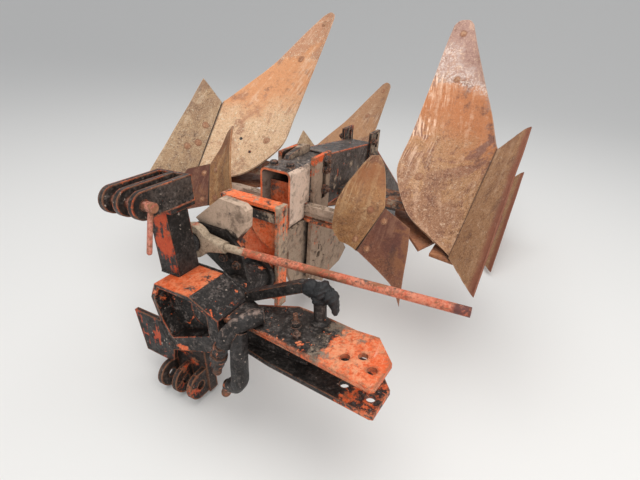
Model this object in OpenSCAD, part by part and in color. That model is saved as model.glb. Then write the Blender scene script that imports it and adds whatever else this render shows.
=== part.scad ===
// Two furrow reversible moldboard plough, lying on its side as it parks.
// Millimetres. +X is the mast side, +Y is the rear of the plough, +Z is up.

/* [Body row] */
// distance from one body to the next along the beam
body_pitch = 920; // [700:10:1100]
// width of one furrow, also the step down to the rear pair
furrow_w = 400; // [300:5:500]
// height of the turnover axis above the floor
axis_z = 310; // [250:5:400]
// how far all pieces are moved along the plough to centre it
shift_y = -469; // [-700:1:0]

/* [Mouldboard] */
// plate thickness of a mouldboard
board_t = 8; // [5:0.5:14]
// how hollow a mouldboard is across its middle
board_hollow = 42; // [0:1:80]
// distance of the inner straight edge from the centre plane
board_inner_x = 275; // [200:5:350]
// height of the tail above the landside plane
tail_z = 730; // [600:5:850]
// distance of the tail behind the datum
tail_y = 725; // [600:5:850]

/* [Share] */
// depth of the cutting edge from the centre plane
share_x = 700; // [600:5:800]
// plate thickness of a share
share_t = 10; // [6:0.5:16]
// point of the share ahead of the datum
share_point_y = -245; // [-320:5:-150]
// wing of the share behind the datum
share_wing_y = 200; // [100:5:300]
// height of the wing above the landside plane
share_wing_z = 430; // [300:5:500]
// gap in the joint between a share and its mouldboard
joint_gap = 6; // [3:0.5:10]

/* [Landside and leg] */
// length of a landside
landside_l = 430; // [300:10:600]
// height of a landside plate
landside_h = 95; // [60:5:140]
// thickness of a landside plate
landside_t = 12; // [8:1:20]
// width of a leg along the plough
leg_w = 120; // [80:5:160]
// thickness of a leg
leg_t = 28; // [16:1:40]
// height of the middle of a leg above the landside plane
leg_z = 82; // [60:1:120]
// front edge of a leg behind the datum
leg_y = 128; // [100:1:200]
// thickness of the frog plate behind a mouldboard
frog_t = 16; // [8:1:24]
// diameter of the stay behind a mouldboard
stay_d = 24; // [12:1:40]

/* [Skimmer] */
// plate thickness of a skimmer
skim_t = 7; // [4:0.5:12]
// how hollow a skimmer board is across its middle
skim_hollow = 8; // [0:1:20]
// gap in the joint between a skimmer's share and board
skim_gap = 3.6; // [0.5:0.1:5]
// depth of a skimmer's point from the centre plane
skim_x = 496; // [460:2:540]
// point of a skimmer ahead of the datum
skim_point_y = -309; // [-380:1:-290]
// width of a skimmer's arm along the plough
skim_arm = 33; // [24:1:40]
// front face of a skimmer's arm behind the datum
skim_arm_y = -145; // [-160:1:-143]
// height of the arms above the floor
skim_arm_z = 502; // [490:1:540]

/* [Beam] */
// outside width of the rail and of the beam
rail_w = 120; // [90:2:160]
// outside height of the rail
rail_h = 206; // [150:2:260]
// wall of the rail
rail_wall = 8; // [6:1:16]
// outer corner radius of the rail
rail_r = 20; // [12:1:30]
// height of the underside of the rail
rail_z = 452; // [420:2:500]
// front mouth of the rail
rail_front = -240; // [-255:5:-180]
// rear end of the rail, where the beam starts
rail_rear = 20; // [16:2:100]
// depth of the stop plate inside the mouth
stop_depth = 50; // [20:5:100]
// outside height of the beam behind the rail
beam_h = 130; // [100:5:150]
// height of the middle of the beam at the rail
beam_front_z = 598; // [560:2:620]
// height of the middle of the beam where it turns down
beam_z = 548; // [500:4:600]
// where the beam turns down
beam_knee = 470; // [400:10:700]
// width of the lower rail
lower_w = 90; // [60:5:110]
// height of the lower rail
lower_h = 98; // [60:2:120]
// thickness of the posts beside the rail
post_t = 16; // [8:1:24]
// front edge of those posts
post_y = -109; // [-111:1:-100]

/* [Turnover bearing] */
// diameter of the turnover shaft
shaft_d = 70; // [50:1:80]
// clearance on the radius between shaft and bearing
shaft_gap = 0.05; // [0.02:0.01:0.1]
// outside diameter of the bearing tube
tube_d = 104; // [94:2:120]
// front end of the bearing tube
tube_front = -604; // [-620:2:-580]
// rear end of the bearing tube
tube_rear = -336; // [-380:2:-336]
// face of the front plate
front_face = -290; // [-290:2:-270]

/* [Headstock] */
// roll of the headstock against the frame as it is parked
head_roll = 4.5; // [0:0.5:8]
// distance of the housing's mast side from the turnover axis
house_side = 95; // [90:1:110]
// height of the housing's flat top above the turnover axis
house_top = 88; // [80:1:100]
// depth of the housing's lowest corner below the turnover axis
house_drop = 147; // [130:1:170]
// front rim of the housing
house_front = -652; // [-660:2:-640]
// length of the housing
house_l = 152; // [130:2:160]
// thickness of the headstock plates
plate_t = 14; // [8:1:20]

/* [Mast] */
// thickness of a mast plate
mast_t = 14; // [8:1:24]
// height of the upper mast plate's middle above the turnover axis
mast_up = 23; // [18:1:40]
// depth of the lower mast plate's middle below the turnover axis
mast_down = 63; // [50:1:80]
// reach of the mast from the turnover axis
mast_reach = 562; // [500:2:640]
// diameter of the top link holes
link_hole_d = 25.6; // [19:0.1:32]

/* [Hitch clevises] */
// diameter of the hitch pin
hitch_pin_d = 28; // [22:0.5:36.5]
// diameter of the bore in the lower clevis
lower_bore_d = 28.6; // [22:0.1:37]
// clearance on the radius of the sliding pin
pin_gap = 0.1; // [0.05:0.01:0.1]
// thickness of a clevis plate
clevis_t = 18; // [12:1:24]
// distance from one upper clevis plate to the next
upper_pitch = 57; // [45:1:80]
// distance from one lower clevis plate to the next
lower_pitch = 62; // [50:1:80]
// width of the upper clevis plates
upper_eye = 78; // [60:2:90]
// width of the lower clevis plates
lower_eye = 90; // [70:2:100]
// height of the upper hitch point above the turnover axis
upper_rise = 351; // [300:2:400]
// depth of the lower hitch point below the turnover axis
lower_drop = 248; // [220:2:260]
// place of the upper hitch point along the plough
upper_y = -676; // [-700:2:-650]
// place of the lower hitch point along the plough
lower_y = -656; // [-680:2:-640]

/* [Lever] */
// diameter of the lever's rod
lever_d = 25; // [18:0.5:34]
// length of the lever from its pivot
lever_l = 854; // [700:2:900]
// diameter of the hub that the lever turns on
hub_d = 64; // [40:1:80]
// clearance on the radius between the lever's eye and its hub
hub_gap = 0.05; // [0.02:0.01:0.1]
// thickness of the lever's eye
eye_t = 30; // [20:1:36]
// place of the lever along the plough
lever_y = -470; // [-478:1:-468]
// height of the lever's pivot above the turnover axis
lever_rise = 155; // [150:1:190]
// place of the lever's pivot beside the turnover axis
lever_x = -136; // [-150:1:-120]
// slope of the lever against the headstock as it parks
lever_slope = 0; // [0:0.1:10]

/* [Hidden] */
$fn = 40;
paint = "#c8461e";
rust = "#8a4a30";
steel = "#8c8478";
dark = "#33302d";
// columns: side, row
side_col = 0;
row_col = 1;
bodies = [[1, 0], [-1, 0], [1, 1], [-1, 1]];

// joint line and corners of the share, from the datum on the landside plane
joint_a = [share_x - 125, share_point_y + 200, 20];
joint_b = [share_x - 84, share_wing_y + 28, share_wing_z - 99];
share_point = [share_x - 10, share_point_y, 24];
share_wing = [share_x, share_wing_y, share_wing_z];

// lower and inner edges of a mouldboard, one pair of points for each section
low_edge = [joint_a, joint_a * 0.66 + joint_b * 0.34, joint_a * 0.32 + joint_b * 0.68, joint_b,
    [560, 360, 410], [501, 478, 492], [412, 618, 630], [346, tail_y + 8, tail_z]];
high_edge = [[500, -8, 42], [370, 82, 82], [board_inner_x - 5, 205, 188],
    [board_inner_x - 3, 318, 300], [board_inner_x, 420, 415], [board_inner_x + 2, 512, 522],
    [board_inner_x + 5, 612, 640], [board_inner_x + 11, tail_y - 38, tail_z - 4]];
hollow_share = [0.10, 0.5, 0.9, 1, 0.85, 0.65, 0.35, 0.15];

module place() {
    translate([0, shift_y, 0])
        children();
}

module body_place(i) {
    place()
        mirror([bodies[i][side_col] < 0 ? 1 : 0, 0, 0])
            translate([0, bodies[i][row_col] * body_pitch, furrow_w * (1 - bodies[i][row_col])])
                children();
}

// the headstock's own frame, with the turnover axis as its origin
module head() {
    translate([0, shift_y, axis_z])
        rotate([0, -head_roll, 0])
            children();
}

// an outline in X and Z, and one in Y and Z, given thickness
module across_y(points, y, l) {
    translate([0, y + l, 0])
        rotate([90, 0, 0])
            linear_extrude(l)
                polygon(points);
}

module across_x(points, x, l) {
    translate([x, 0, 0])
        rotate([90, 0, 90])
            linear_extrude(l)
                polygon(points);
}

module bar_x(d, l) {
    rotate([0, 90, 0])
        cylinder(d = d, h = l);
}

module bar_y(d, l) {
    rotate([-90, 0, 0])
        cylinder(d = d, h = l);
}

// a solid sheet through two grids of points
function unit(v) = v / norm(v);
function facing(g, i, j, n, m) = unit(cross(
    g[min(i + 1, n)][j] - g[max(i - 1, 0)][j], g[i][min(j + 1, m)] - g[i][max(j - 1, 0)]));

module sheet(grid, t) {
    n = len(grid) - 1;
    m = len(grid[0]) - 1;
    w = m + 1;
    size = (n + 1) * w;
    front = [for (i = [0:n]) for (j = [0:m]) grid[i][j]];
    back = [for (i = [0:n]) for (j = [0:m]) grid[i][j] + t * facing(grid, i, j, n, m)];
    faces_a = [for (i = [0:n - 1]) for (j = [0:m - 1]) each
        [[i * w + j, (i + 1) * w + j, i * w + j + 1], [i * w + j + 1, (i + 1) * w + j, (i + 1) * w + j + 1]]];
    faces_b = [for (f = faces_a) [f[0] + size, f[2] + size, f[1] + size]];
    rim = concat([for (j = [0:m]) j], [for (i = [1:n]) i * w + m],
        [for (j = [m - 1:-1:0]) n * w + j], [for (i = [n - 1:-1:1]) i * w]);
    k = len(rim);
    faces_c = [for (q = [0:k - 1]) each
        [[rim[q], rim[(q + 1) % k], rim[q] + size], [rim[(q + 1) % k], rim[(q + 1) % k] + size, rim[q] + size]]];
    polyhedron(points = concat(front, back), faces = concat(faces_a, faces_b, faces_c));
}

function across(a, b, s, h) = a * (1 - s) + b * s + [0, 4 * s * (1 - s) * h, 0];

board_grid = [for (i = [0:7]) [for (s = [0:0.2:1])
    across(low_edge[i], high_edge[i], s, board_hollow * hollow_share[i])]];

module mouldboard() {
    color(rust)
        sheet(board_grid, board_t);
}

module share() {
    edge_gap = unit(share_point - joint_a) * joint_gap;
    grid = [[share_point, joint_a + edge_gap], [share_wing, joint_b + edge_gap]];
    color(rust)
        sheet(grid, share_t);
}

module landside() {
    color(rust)
        translate([share_x - 20 - landside_h, 30, 0])
            cube([landside_h, landside_l, landside_t]);
}

function on_share(u, v) = share_point + u * (share_wing - share_point) + v * (joint_a - share_point)
    - 0.4 * unit(cross(share_wing - share_point, joint_a - share_point));

module leg() {
    stay_end = board_grid[5][2] - (stay_d / 2 + 0.4) * facing(board_grid, 5, 2, 7, 5);
    foot = [[share_x - 20 - landside_h, leg_y, landside_t],
        [landside_h - 15, leg_w + 60, leg_z + leg_t / 2 - landside_t]];
    color(dark) {
        translate([rail_w / 2, leg_y, leg_z - leg_t / 2])
            cube([share_x - 115 - rail_w / 2, leg_w, leg_t]);
        translate(foot[0])
            cube(foot[1]);
        hull() {
            translate(foot[0])
                cube([foot[1][0], 10, foot[1][2]]);
            for (q = [[0.04, 0.55], [0.04, 0.92], [0.3, 0.66], [0.3, 0.3]])
                translate(on_share(q[0], q[1]))
                    cylinder(d = 0.1, h = 0.1, $fn = 4);
        }
        hull() {
            translate([share_x - 150, leg_y + 90, leg_z])
                sphere(d = stay_d, $fn = 16);
            translate(stay_end)
                sphere(d = stay_d, $fn = 16);
        }
    }
}

module four(i, kind) {
    body_place(i) {
        if (kind == "mouldboard") mouldboard();
        if (kind == "share") share();
        if (kind == "landside") landside();
        if (kind == "leg") leg();
    }
}

module side_place(side) {
    place()
        mirror([side < 0 ? 1 : 0, 0, 0])
            children();
}

// skimmer, above the floor: joint with the share, then the edges of the board from below
skim_a = [310, -229, 446];
skim_b = [360, -150, 577];
skim_edge = [[skim_a, [238, -204, 452]], [skim_a * 0.67 + skim_b * 0.33, [209, -207, 492]],
    [skim_a * 0.33 + skim_b * 0.67, [210, -210, 545]], [skim_b, [216, -205, 594]], [[340, -109, 633], [232, -180, 643]],
    [[328, -94, 670], [246, -161, 670]], [[318, -86, 698], [264, -131, 707]], [[303, -84, 722], [280, -107, 731]]];
skim_side = [0, 1 / 3, 2 / 3, 1];
skim_grid = [for (e = skim_edge) [for (q = skim_side) across(e[0], e[1], q, skim_hollow)]];

module skimmer_board() {
    color(rust)
        sheet(skim_grid, skim_t);
}

module skimmer_share() {
    point = [skim_x, skim_point_y, 356];
    gap = unit([147, 49, 102]) * skim_gap;
    low = skim_a + gap;
    high = skim_b + gap;
    outer = [[skim_x - 14, skim_point_y + 50, 430], [skim_x - 25, skim_point_y + 94, 497],
        [skim_x - 39, skim_point_y + 129, 548]];
    grid = concat([[point, point * 0.81 + low * 0.19 + [0, 12, 18], point * 0.47 + low * 0.53 + [0, 8, 14], low]],
        [for (i = [0:2]) [for (q = skim_side) outer[i] * (1 - q) + (low * (2 - i) + high * (i + 1)) / 3 * q]]);
    color(rust)
        sheet(grid, skim_t);
}

module skimmer_stalk() {
    h = skim_arm - 6;
    color(steel) {
        translate([rail_w / 2, skim_arm_y, skim_arm_z - h / 2])
            cube([190, skim_arm, h]);
        hull() {
            translate([rail_w / 2 + 150, skim_arm_y, skim_arm_z - h / 2])
                cube([40, skim_arm, h]);
            for (q = [skim_grid[1][1], skim_grid[1][2], skim_grid[2][1]])
                translate(q + [0, 0.8, 0])
                    sphere(d = 0.1, $fn = 4);
        }
        translate([rail_w / 2, skim_arm_y, skim_arm_z - 50])
            cube([130, skim_arm, 14]);
        translate([rail_w / 2, skim_arm_y + 6, skim_arm_z - 36])
            cube([122, skim_arm - 6, 36 - h / 2]);
    }
}

// a box outline with rounded corners
function round_box(w, h, r) = [for (c = [[1, 1, 0], [-1, 1, 90], [-1, -1, 180], [1, -1, 270]]) for (k = [0:4])
    [c[0] * (w / 2 - r) + r * cos(c[2] + k * 22.5), c[1] * (h / 2 - r) + r * sin(c[2] + k * 22.5)]];

module upper_rail() {
    l = rail_rear - rail_front;
    color(paint)
        place()
            translate([0, 0, rail_z + rail_h / 2]) {
                difference() {
                    across_y(round_box(rail_w, rail_h, rail_r), rail_front, l);
                    across_y(round_box(rail_w - 2 * rail_wall, rail_h - 2 * rail_wall, rail_r - rail_wall),
                        rail_front - 1, l + 2);
                }
                translate([rail_wall / 2 - rail_w / 2, rail_front + stop_depth, 20 - rail_h / 2])
                    cube([rail_w - rail_wall, rail_wall, rail_h - 76]);
            }
}

beam_end = [body_pitch + leg_y + 20, 110];

module main_beam() {
    h = beam_h / 2;
    color(dark)
        place()
            across_x([[rail_rear, rail_z], [rail_rear, beam_front_z + h], [beam_knee, beam_z + h],
                beam_end + [20, h], beam_end + [120, h], beam_end + [120, -h], beam_end + [0, -h],
                [beam_knee - 20, beam_z - h], [leg_y + leg_w + 12, beam_z - h + 14], [leg_y + leg_w + 12, rail_z]],
                -rail_w / 2, rail_w);
}

module lower_rail() {
    color(dark)
        place() {
            translate([-lower_w / 2, front_face + plate_t, rail_z - lower_h])
                cube([lower_w, 216, lower_h]);
            for (side = [-1, 1])
                across_x([[-215, rail_z - lower_h], [-215, 255], [-180, 185], [-62, 140], [-62, rail_z - lower_h]],
                    side * (lower_w / 2 - plate_t / 2) - plate_t / 2, plate_t);
        }
}

module front_plate() {
    top = rail_z + 115;
    right = rail_w / 2 + post_t - 1;
    color(paint)
        place()
            difference() {
                union() {
                    across_y([[-161, top], [right, top], [right, 181], [-70, 181], [-105, 262], [-161, 440]],
                        front_face, plate_t);
                    translate([-161, front_face - 40, top - 12])
                        cube([161 + right, 40, 12]);
                    translate([right - 14, front_face - 40, 181])
                        cube([14, 40, top - 12 - 181]);
                    translate([-57, front_face - 34, top - 58])
                        cube([right - 14 + 57, 34, 34]);
                    across_y(concat([[right - 14, top - 58]], [for (k = [0:8])
                        [right - 14 - 120 * cos(k * 11.25), top - 58 - 112 * sin(k * 11.25)]]), front_face - 16, 16);
                    translate([0, front_face - 38, axis_z])
                        bar_y(tube_d, 38);
                }
                translate([0, front_face - 39, axis_z])
                    bar_y(shaft_d, plate_t + 40);
            }
}

module turnover_shaft() {
    color(steel)
        place()
            translate([0, tube_front - 10, axis_z])
                bar_y(shaft_d, front_face + plate_t - tube_front + 10);
}

module slotted_posts() {
    y = post_y;
    color(steel)
        place()
            for (side = [-1, 1]) {
                difference() {
                    across_x([[y, rail_z + rail_h + 20], [y + 123, rail_z + rail_h + 20], [y + 123, 110], [y, 190]],
                        side * (rail_w + post_t) / 2 - post_t / 2, post_t);
                    translate([side * (rail_w + post_t) / 2 - post_t, y + 64, 510])
                        cube([2 * post_t, 26, 152]);
                    translate([side * (rail_w + post_t) / 2 - post_t, y + 66, 270])
                        bar_x(26, 2 * post_t);
                    translate([side * (rail_w + post_t) / 2 - post_t, y + 62, 292])
                        cube([2 * post_t, 8, 24]);
                }
                across_x([[y + 123, 372], [y + 219, 335], [y + 349, 170], [y + 290, 130], [y + 123, 125]],
                    side * (rail_w + 10) / 2 - 5, 10);
            }
}

module rail_clamp() {
    color(steel)
        place() {
            across_x([[-130, rail_z + rail_h], [rail_rear, rail_z + rail_h], [rail_rear, rail_z + rail_h + 26],
                [-20, rail_z + rail_h + 34], [-118, rail_z + rail_h + 16]], rail_r - rail_w / 2, 22);
            for (side = [-1, 1])
                translate([side * (rail_w + 14) / 2 - 7, beam_knee - 60, beam_z - 30])
                    difference() {
                        cube([14, 96, 150]);
                        translate([-1, 52, 74])
                            cube([16, 22, 62]);
                    }
        }
}

// headstock, all measured from the turnover axis
house_rear = house_front + house_l;
wall_top = mast_up + mast_t / 2;
house_outer = [[-140, house_top], [-5, house_top - 6], [house_side, wall_top],
    [house_side, -mast_down - mast_t / 2 - 8],
    [house_side - 39, -94], [-110, -house_drop], [-147, -48], [-166, 35]];
house_inner = [[-130, house_top - 12], [-10, house_top - 18], [house_side - 41, wall_top + 8], [house_side - 41, -34],
    [-106, house_drop > 140 ? -97 : -92], [-134, -46], [-152, 32]];
function house_roof(x) = house_top - (x + 140) * 6 / 135;

module bearing_tube() {
    color(dark)
        head()
            translate([0, tube_front, 0])
                difference() {
                    union() {
                        bar_y(tube_d, tube_rear - tube_front);
                        translate([0, tube_rear - tube_front - 18, 0])
                            bar_y(tube_d + 30, 18);
                    }
                    translate([0, -1, 0])
                        bar_y(shaft_d + 2 * shaft_gap, tube_rear - tube_front + 2);
                }
}

module housing() {
    color(paint)
        head()
            difference() {
                across_y(house_outer, house_front, house_l);
                across_y(house_inner, house_front - 1, tube_front - house_front + 1);
                across_y(house_inner, tube_front + plate_t, house_rear - tube_front - 2 * plate_t);
                translate([0, house_front - 2, 0])
                    bar_y(tube_d, house_l + 4);
            }
}

// upper hitch: plates of the clevis from x_far to x_near
upper_x = -142;
upper_low = upper_rise - upper_eye / 2;
upper_back = -505;
clevis_left = upper_x - upper_pitch - clevis_t / 2;
clevis_span = 2 * upper_pitch + clevis_t;

module hitch_post() {
    top = upper_low - plate_t;
    color(dark)
        head() {
            across_y([[-189, top], [-114, top], [-102, house_roof(-102)], [-140, house_top], [-179, house_top]],
                -572 - plate_t, plate_t);
            across_y([[-114 - plate_t, top], [-114, top], [-102, house_roof(-102)],
                [-102 - plate_t, house_roof(-102 - plate_t)]], -572, 67);
            translate([clevis_left, -600, top])
                cube([clevis_span, 600 + upper_back, plate_t]);
        }
}

module clevis(x, y, z, eye, pitch, back, bore) {
    for (k = [-1, 0, 1])
        translate([x + k * pitch - clevis_t / 2, y, z])
            difference() {
                hull() {
                    bar_x(eye, clevis_t);
                    translate([0, back - y - 10, -eye / 2])
                        cube([clevis_t, 10, eye]);
                }
                translate([-1, 0, 0])
                    bar_x(bore, clevis_t + 2);
            }
}

module upper_clevis() {
    color(paint)
        head() {
            clevis(upper_x, upper_y, upper_rise, upper_eye, upper_pitch, upper_back - 14, hitch_pin_d + 2 * pin_gap);
            translate([clevis_left, upper_back - 14, upper_low])
                cube([clevis_span, 14, upper_eye]);
        }
}

// lower hitch: its base stands under the housing, and its outer corner on the floor
lower_x = -83;
base_left = lower_x - lower_pitch - clevis_t / 2 + 4;
base_right = lower_x + lower_pitch + clevis_t / 2 + 4;
base_foot = -(axis_z + base_left * sin(head_roll)) / cos(head_roll);
function house_floor(x) = -house_drop + (x + 110) * (house_drop - 94) / (house_side - 39 + 110);

gusset_foot = lower_eye / 2 - lower_drop + 1;

module lower_clevis() {
    color(paint)
        head() {
            clevis(lower_x, lower_y, -lower_drop, lower_eye, lower_pitch, -626, lower_bore_d);
            across_y([[base_left, base_foot], [base_right, base_foot], [base_right, house_floor(base_right)],
                [-110, -house_drop], [base_left, -house_drop]], -626, 34);
        }
}

module clevis_gusset() {
    color(paint)
        head()
            across_y([[-263, -43], [-147, -48], [-110, -house_drop], [-121, gusset_foot + 7],
                [-138, gusset_foot], [-244, gusset_foot + 6]], house_front, plate_t);
}

mast_front = [[house_side, -628], [194, -628], [mast_reach - 4, -681]];
mast_low_front = [[house_side, -612], [250, -642], [mast_reach - 4, -677]];
mast_back = [[mast_reach + 6, -674], [mast_reach + 13, -581], [mast_reach - 49, -505], [448, -505], [349, -489],
    [254, -482], [144, -530], [house_side, -510]];
mast_holes = [[mast_reach - 96, -614], [mast_reach - 58, -591], [mast_reach - 20, -626]];

module mast_plate(z, outline) {
    translate([0, 0, z - mast_t / 2])
        difference() {
            linear_extrude(mast_t)
                polygon(outline);
            for (h = mast_holes)
                translate([h[0], h[1], -1])
                    cylinder(d = link_hole_d, h = mast_t + 2);
        }
}

module mast_upper_plate() {
    color(paint)
        head()
            mast_plate(mast_up, concat(mast_front, mast_back));
}

module mast_lower_plate() {
    color(dark)
        head()
            mast_plate(-mast_down, concat(mast_low_front, mast_back));
}

module mast_web() {
    color(dark)
        head()
            translate([house_side, -598, mast_t / 2 - mast_down])
                cube([mast_reach - 310, 58, mast_up + mast_down - mast_t]);
}

// a rounded arm through a list of points
module arm(points, d) {
    for (i = [0:len(points) - 2])
        hull()
            for (q = [points[i], points[i + 1]])
                translate(q)
                    sphere(d = d, $fn = 10);
}

// a bolt or stud in a plane across the plough
module stud(p, q, d, n) {
    translate(p)
        rotate([0, atan2(q[0] - p[0], q[2] - p[2]), 0])
            cylinder(d = d, h = norm(q - p), $fn = n);
}

module stop_arm() {
    z = wall_top + 22.2;
    color(dark)
        head() {
            arm([[192, -604, z], [172, -640, z], [146, -668, z - 34], [132, -676, z - 62]], 46);
            arm([[176, -660, z - 32], [178, -676, z - 122], [172, -676, z - 184], [134, -674, z - 212]], 42);
            stud([122, -678, z - 76], [108, -678, z - 124], 44, 6);
            stud([109, -678, z - 120], [91, -678, z - 186], 34, 12);
            stud([128, -674, z - 214], [108, -674, z - 260], 30, 12);
        }
}

module latch_post() {
    color(dark)
        head() {
            translate([346, -520, wall_top])
                cylinder(d = 36, h = 90);
            hull() {
                translate([325, -544, 133])
                    bar_y(50, 48);
                translate([366, -544, 135])
                    bar_y(50, 48);
                translate([382, -540, 108])
                    bar_y(38, 40);
            }
        }
}

module latch_link() {
    color(paint)
        head()
            hull() {
                translate([house_side + 2, -532, wall_top])
                    cube([14, 26, 27]);
                translate([287, -534, 119])
                    cube([12.7, 28, 28]);
            }
}

module lever_bracket() {
    color(steel)
        head() {
            difference() {
                across_y([[-186, lever_rise - 45], [-186, lever_rise + 20], [-150, lever_rise + 48],
                    [-30, lever_rise + 40], [20, lever_rise - 10], [42, 20], [-20, 20], [-120, lever_rise - 62]],
                    lever_y + 24, 12);
                translate([0, lever_y + 20, 0])
                    bar_y(tube_d, 20);
            }
            translate([lever_x, lever_y - 20, lever_rise])
                bar_y(hub_d, 44);
        }
}

module lock_block() {
    color(steel)
        head()
            across_y([[-66, lever_rise + 2], [-6, lever_rise + 2], [42, lever_rise + 58], [50, lever_rise + 116],
                [34, lever_rise + 130], [-50, lever_rise + 142], [-160, lever_rise + 60], [-120, lever_rise + 22]],
                lever_y + 36, 34);
}

module turnover_lever() {
    color(paint)
        head()
            translate([lever_x, lever_y, lever_rise])
                rotate([0, -lever_slope, 0]) {
                    difference() {
                        hull() {
                            translate([0, -eye_t / 2, 0])
                                bar_y(hub_d + 48, eye_t);
                            translate([-40, -eye_t / 2, 0])
                                bar_y(hub_d + 28, eye_t);
                        }
                        translate([0, -eye_t / 2 - 1, 0])
                            bar_y(hub_d + 2 * hub_gap, eye_t + 2);
                    }
                    hull() {
                        translate([hub_d / 2 + 14, -eye_t / 2, -26])
                            cube([6, eye_t, 52]);
                        translate([118, 0, 0])
                            bar_x(lever_d + 13, 6);
                    }
                    translate([118, 0, 0])
                        bar_x(lever_d, lever_l - 118);
                }
}

module hitch_pin() {
    near = clevis_left + clevis_span;
    color(steel)
        head() {
            translate([clevis_left - 14, upper_y, upper_rise])
                bar_x(hitch_pin_d, clevis_span + 14 + 34);
            hull() {
                translate([near + 20, upper_y, upper_rise])
                    sphere(d = 15, $fn = 12);
                translate([near + 14, upper_y - 26, upper_rise - 119])
                    sphere(d = 15, $fn = 12);
            }
        }
}

housing();
bearing_tube();
hitch_post();
upper_clevis();
lower_clevis();
clevis_gusset();
mast_upper_plate();
mast_lower_plate();
mast_web();
stop_arm();
latch_post();
latch_link();
lever_bracket();
lock_block();
turnover_lever();
hitch_pin();
turnover_shaft();
front_plate();
upper_rail();
main_beam();
lower_rail();
slotted_posts();
rail_clamp();
four(0, "mouldboard");  // mouldboard_fr
four(1, "mouldboard");  // mouldboard_fl
four(2, "mouldboard");  // mouldboard_rr
four(3, "mouldboard");  // mouldboard_rl
four(0, "share");  // share_fr
four(1, "share");  // share_fl
four(2, "share");  // share_rr
four(3, "share");  // share_rl
four(0, "landside");  // landside_fr
four(1, "landside");  // landside_fl
four(2, "landside");  // landside_rr
four(3, "landside");  // landside_rl
four(0, "leg");  // leg_fr
four(1, "leg");  // leg_fl
four(2, "leg");  // leg_rr
four(3, "leg");  // leg_rl
side_place(1) skimmer_board();  // skimmer_board_r
side_place(-1) skimmer_board();  // skimmer_board_l
side_place(1) skimmer_share();  // skimmer_share_r
side_place(-1) skimmer_share();  // skimmer_share_l
side_place(1) skimmer_stalk();  // skimmer_stalk_r
side_place(-1) skimmer_stalk();  // skimmer_stalk_l
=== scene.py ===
"""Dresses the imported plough: fine boards, hardware, welds and worn finishes, with floor and lights."""
import random
from math import cos, pi, radians, sin

import bpy
import numpy as np
from mathutils import Matrix, Vector
from numpy.linalg import norm

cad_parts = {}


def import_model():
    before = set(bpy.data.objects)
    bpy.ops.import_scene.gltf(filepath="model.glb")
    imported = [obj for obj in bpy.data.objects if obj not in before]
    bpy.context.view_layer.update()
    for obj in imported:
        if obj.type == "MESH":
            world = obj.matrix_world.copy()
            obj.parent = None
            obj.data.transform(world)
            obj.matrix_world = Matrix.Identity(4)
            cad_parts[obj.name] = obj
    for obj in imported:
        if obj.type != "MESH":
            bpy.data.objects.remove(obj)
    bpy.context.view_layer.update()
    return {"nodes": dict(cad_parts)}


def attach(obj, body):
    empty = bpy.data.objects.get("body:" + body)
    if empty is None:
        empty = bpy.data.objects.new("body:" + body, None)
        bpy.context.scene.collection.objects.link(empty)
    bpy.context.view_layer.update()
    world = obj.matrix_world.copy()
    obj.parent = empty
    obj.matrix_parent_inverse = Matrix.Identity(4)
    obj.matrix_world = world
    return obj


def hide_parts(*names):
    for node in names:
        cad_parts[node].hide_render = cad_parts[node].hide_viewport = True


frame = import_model()

# Millimetres, as in the part's source, until world() or head() makes metres of them.
SHIFT = -469.0  # how far the source moves everything along the plough
ROLL = radians(4.5)  # roll of the headstock as it lies
AXIS = 310.0  # height of the turnover axis
PITCH, FURROW = 920, 400  # from the front pair of bodies to the rear pair
C, S = cos(ROLL), sin(ROLL)
HEAD_X, HEAD_Z = (C, 0, S), (-S, 0.0, C)
RIGHT, REAR, FRONT, UP = (1, 0, 0), (0, 1, 0), (0, -1, 0), (0, 0, 1)
rng = random.Random(7)
scene = bpy.context.scene


def world(p):
    """From the plough's own millimetres to metres in the frame."""
    return Vector((p[0], p[1] + SHIFT, p[2])) / 1000


def head(p):
    """From the headstock's own millimetres, measured from the turnover axis."""
    return world((p[0] * C - p[2] * S, p[1], AXIS + p[0] * S + p[2] * C))


def head_dir(d):
    """A direction from the headstock's own frame to the part's frame."""
    return Vector((d[0] * C - d[2] * S, d[1], d[0] * S + d[2] * C))


def link(o):
    scene.collection.objects.link(o)
    return o


# Meshes
def piece(name, verts, faces, mat, body, slot, replaced=None, uv=None, grid=None, bevel=0.0, angle=38,
          segments=2):
    """Makes one visual piece that rides on a body, in a CAD node's place if one is named.

    Edges sharper than angle get a bevel, in metres. The rest is shaded smooth.
    """
    me = bpy.data.meshes.new(name)
    me.from_pydata([tuple(v) for v in verts], [], faces)
    for layer_name, values in (("flow", uv), ("grid", grid)):
        if values is not None:
            layer = me.uv_layers.new(name=layer_name)
            for loop in me.loops:
                layer.data[loop.index].uv = values[loop.vertex_index]
    me.validate()
    me.update()
    o = link(bpy.data.objects.new(name, me))
    if bevel:
        m = o.modifiers.new("edge", "BEVEL")
        m.width = bevel
        m.segments = segments
        m.limit_method = "ANGLE"
        m.angle_limit = radians(angle)
        m.harden_normals = False
        me = bpy.data.meshes.new_from_object(o.evaluated_get(bpy.context.evaluated_depsgraph_get()))
        o.modifiers.clear()
        o.data = me
    for p in me.polygons:
        p.use_smooth = True
    me.set_sharp_from_angle(angle=radians(angle))
    me.materials.clear()
    me.materials.append(M[mat])
    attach(o, body)
    if replaced:
        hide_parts(replaced)


def loop_faces(rings, n):
    """Faces of a closed tube through rings of n points, with its two ends."""
    sides = [[i * n + k, i * n + (k + 1) % n, (i + 1) * n + (k + 1) % n, (i + 1) * n + k]
             for i in range(rings - 1) for k in range(n)]
    return sides + [list(range(n))[::-1], [(rings - 1) * n + k for k in range(n)]]


def turned(faces, side):
    """The faces of a body, the other way round where it is mirrored."""
    return [f[::-1] for f in faces] if side < 0 else faces


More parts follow.
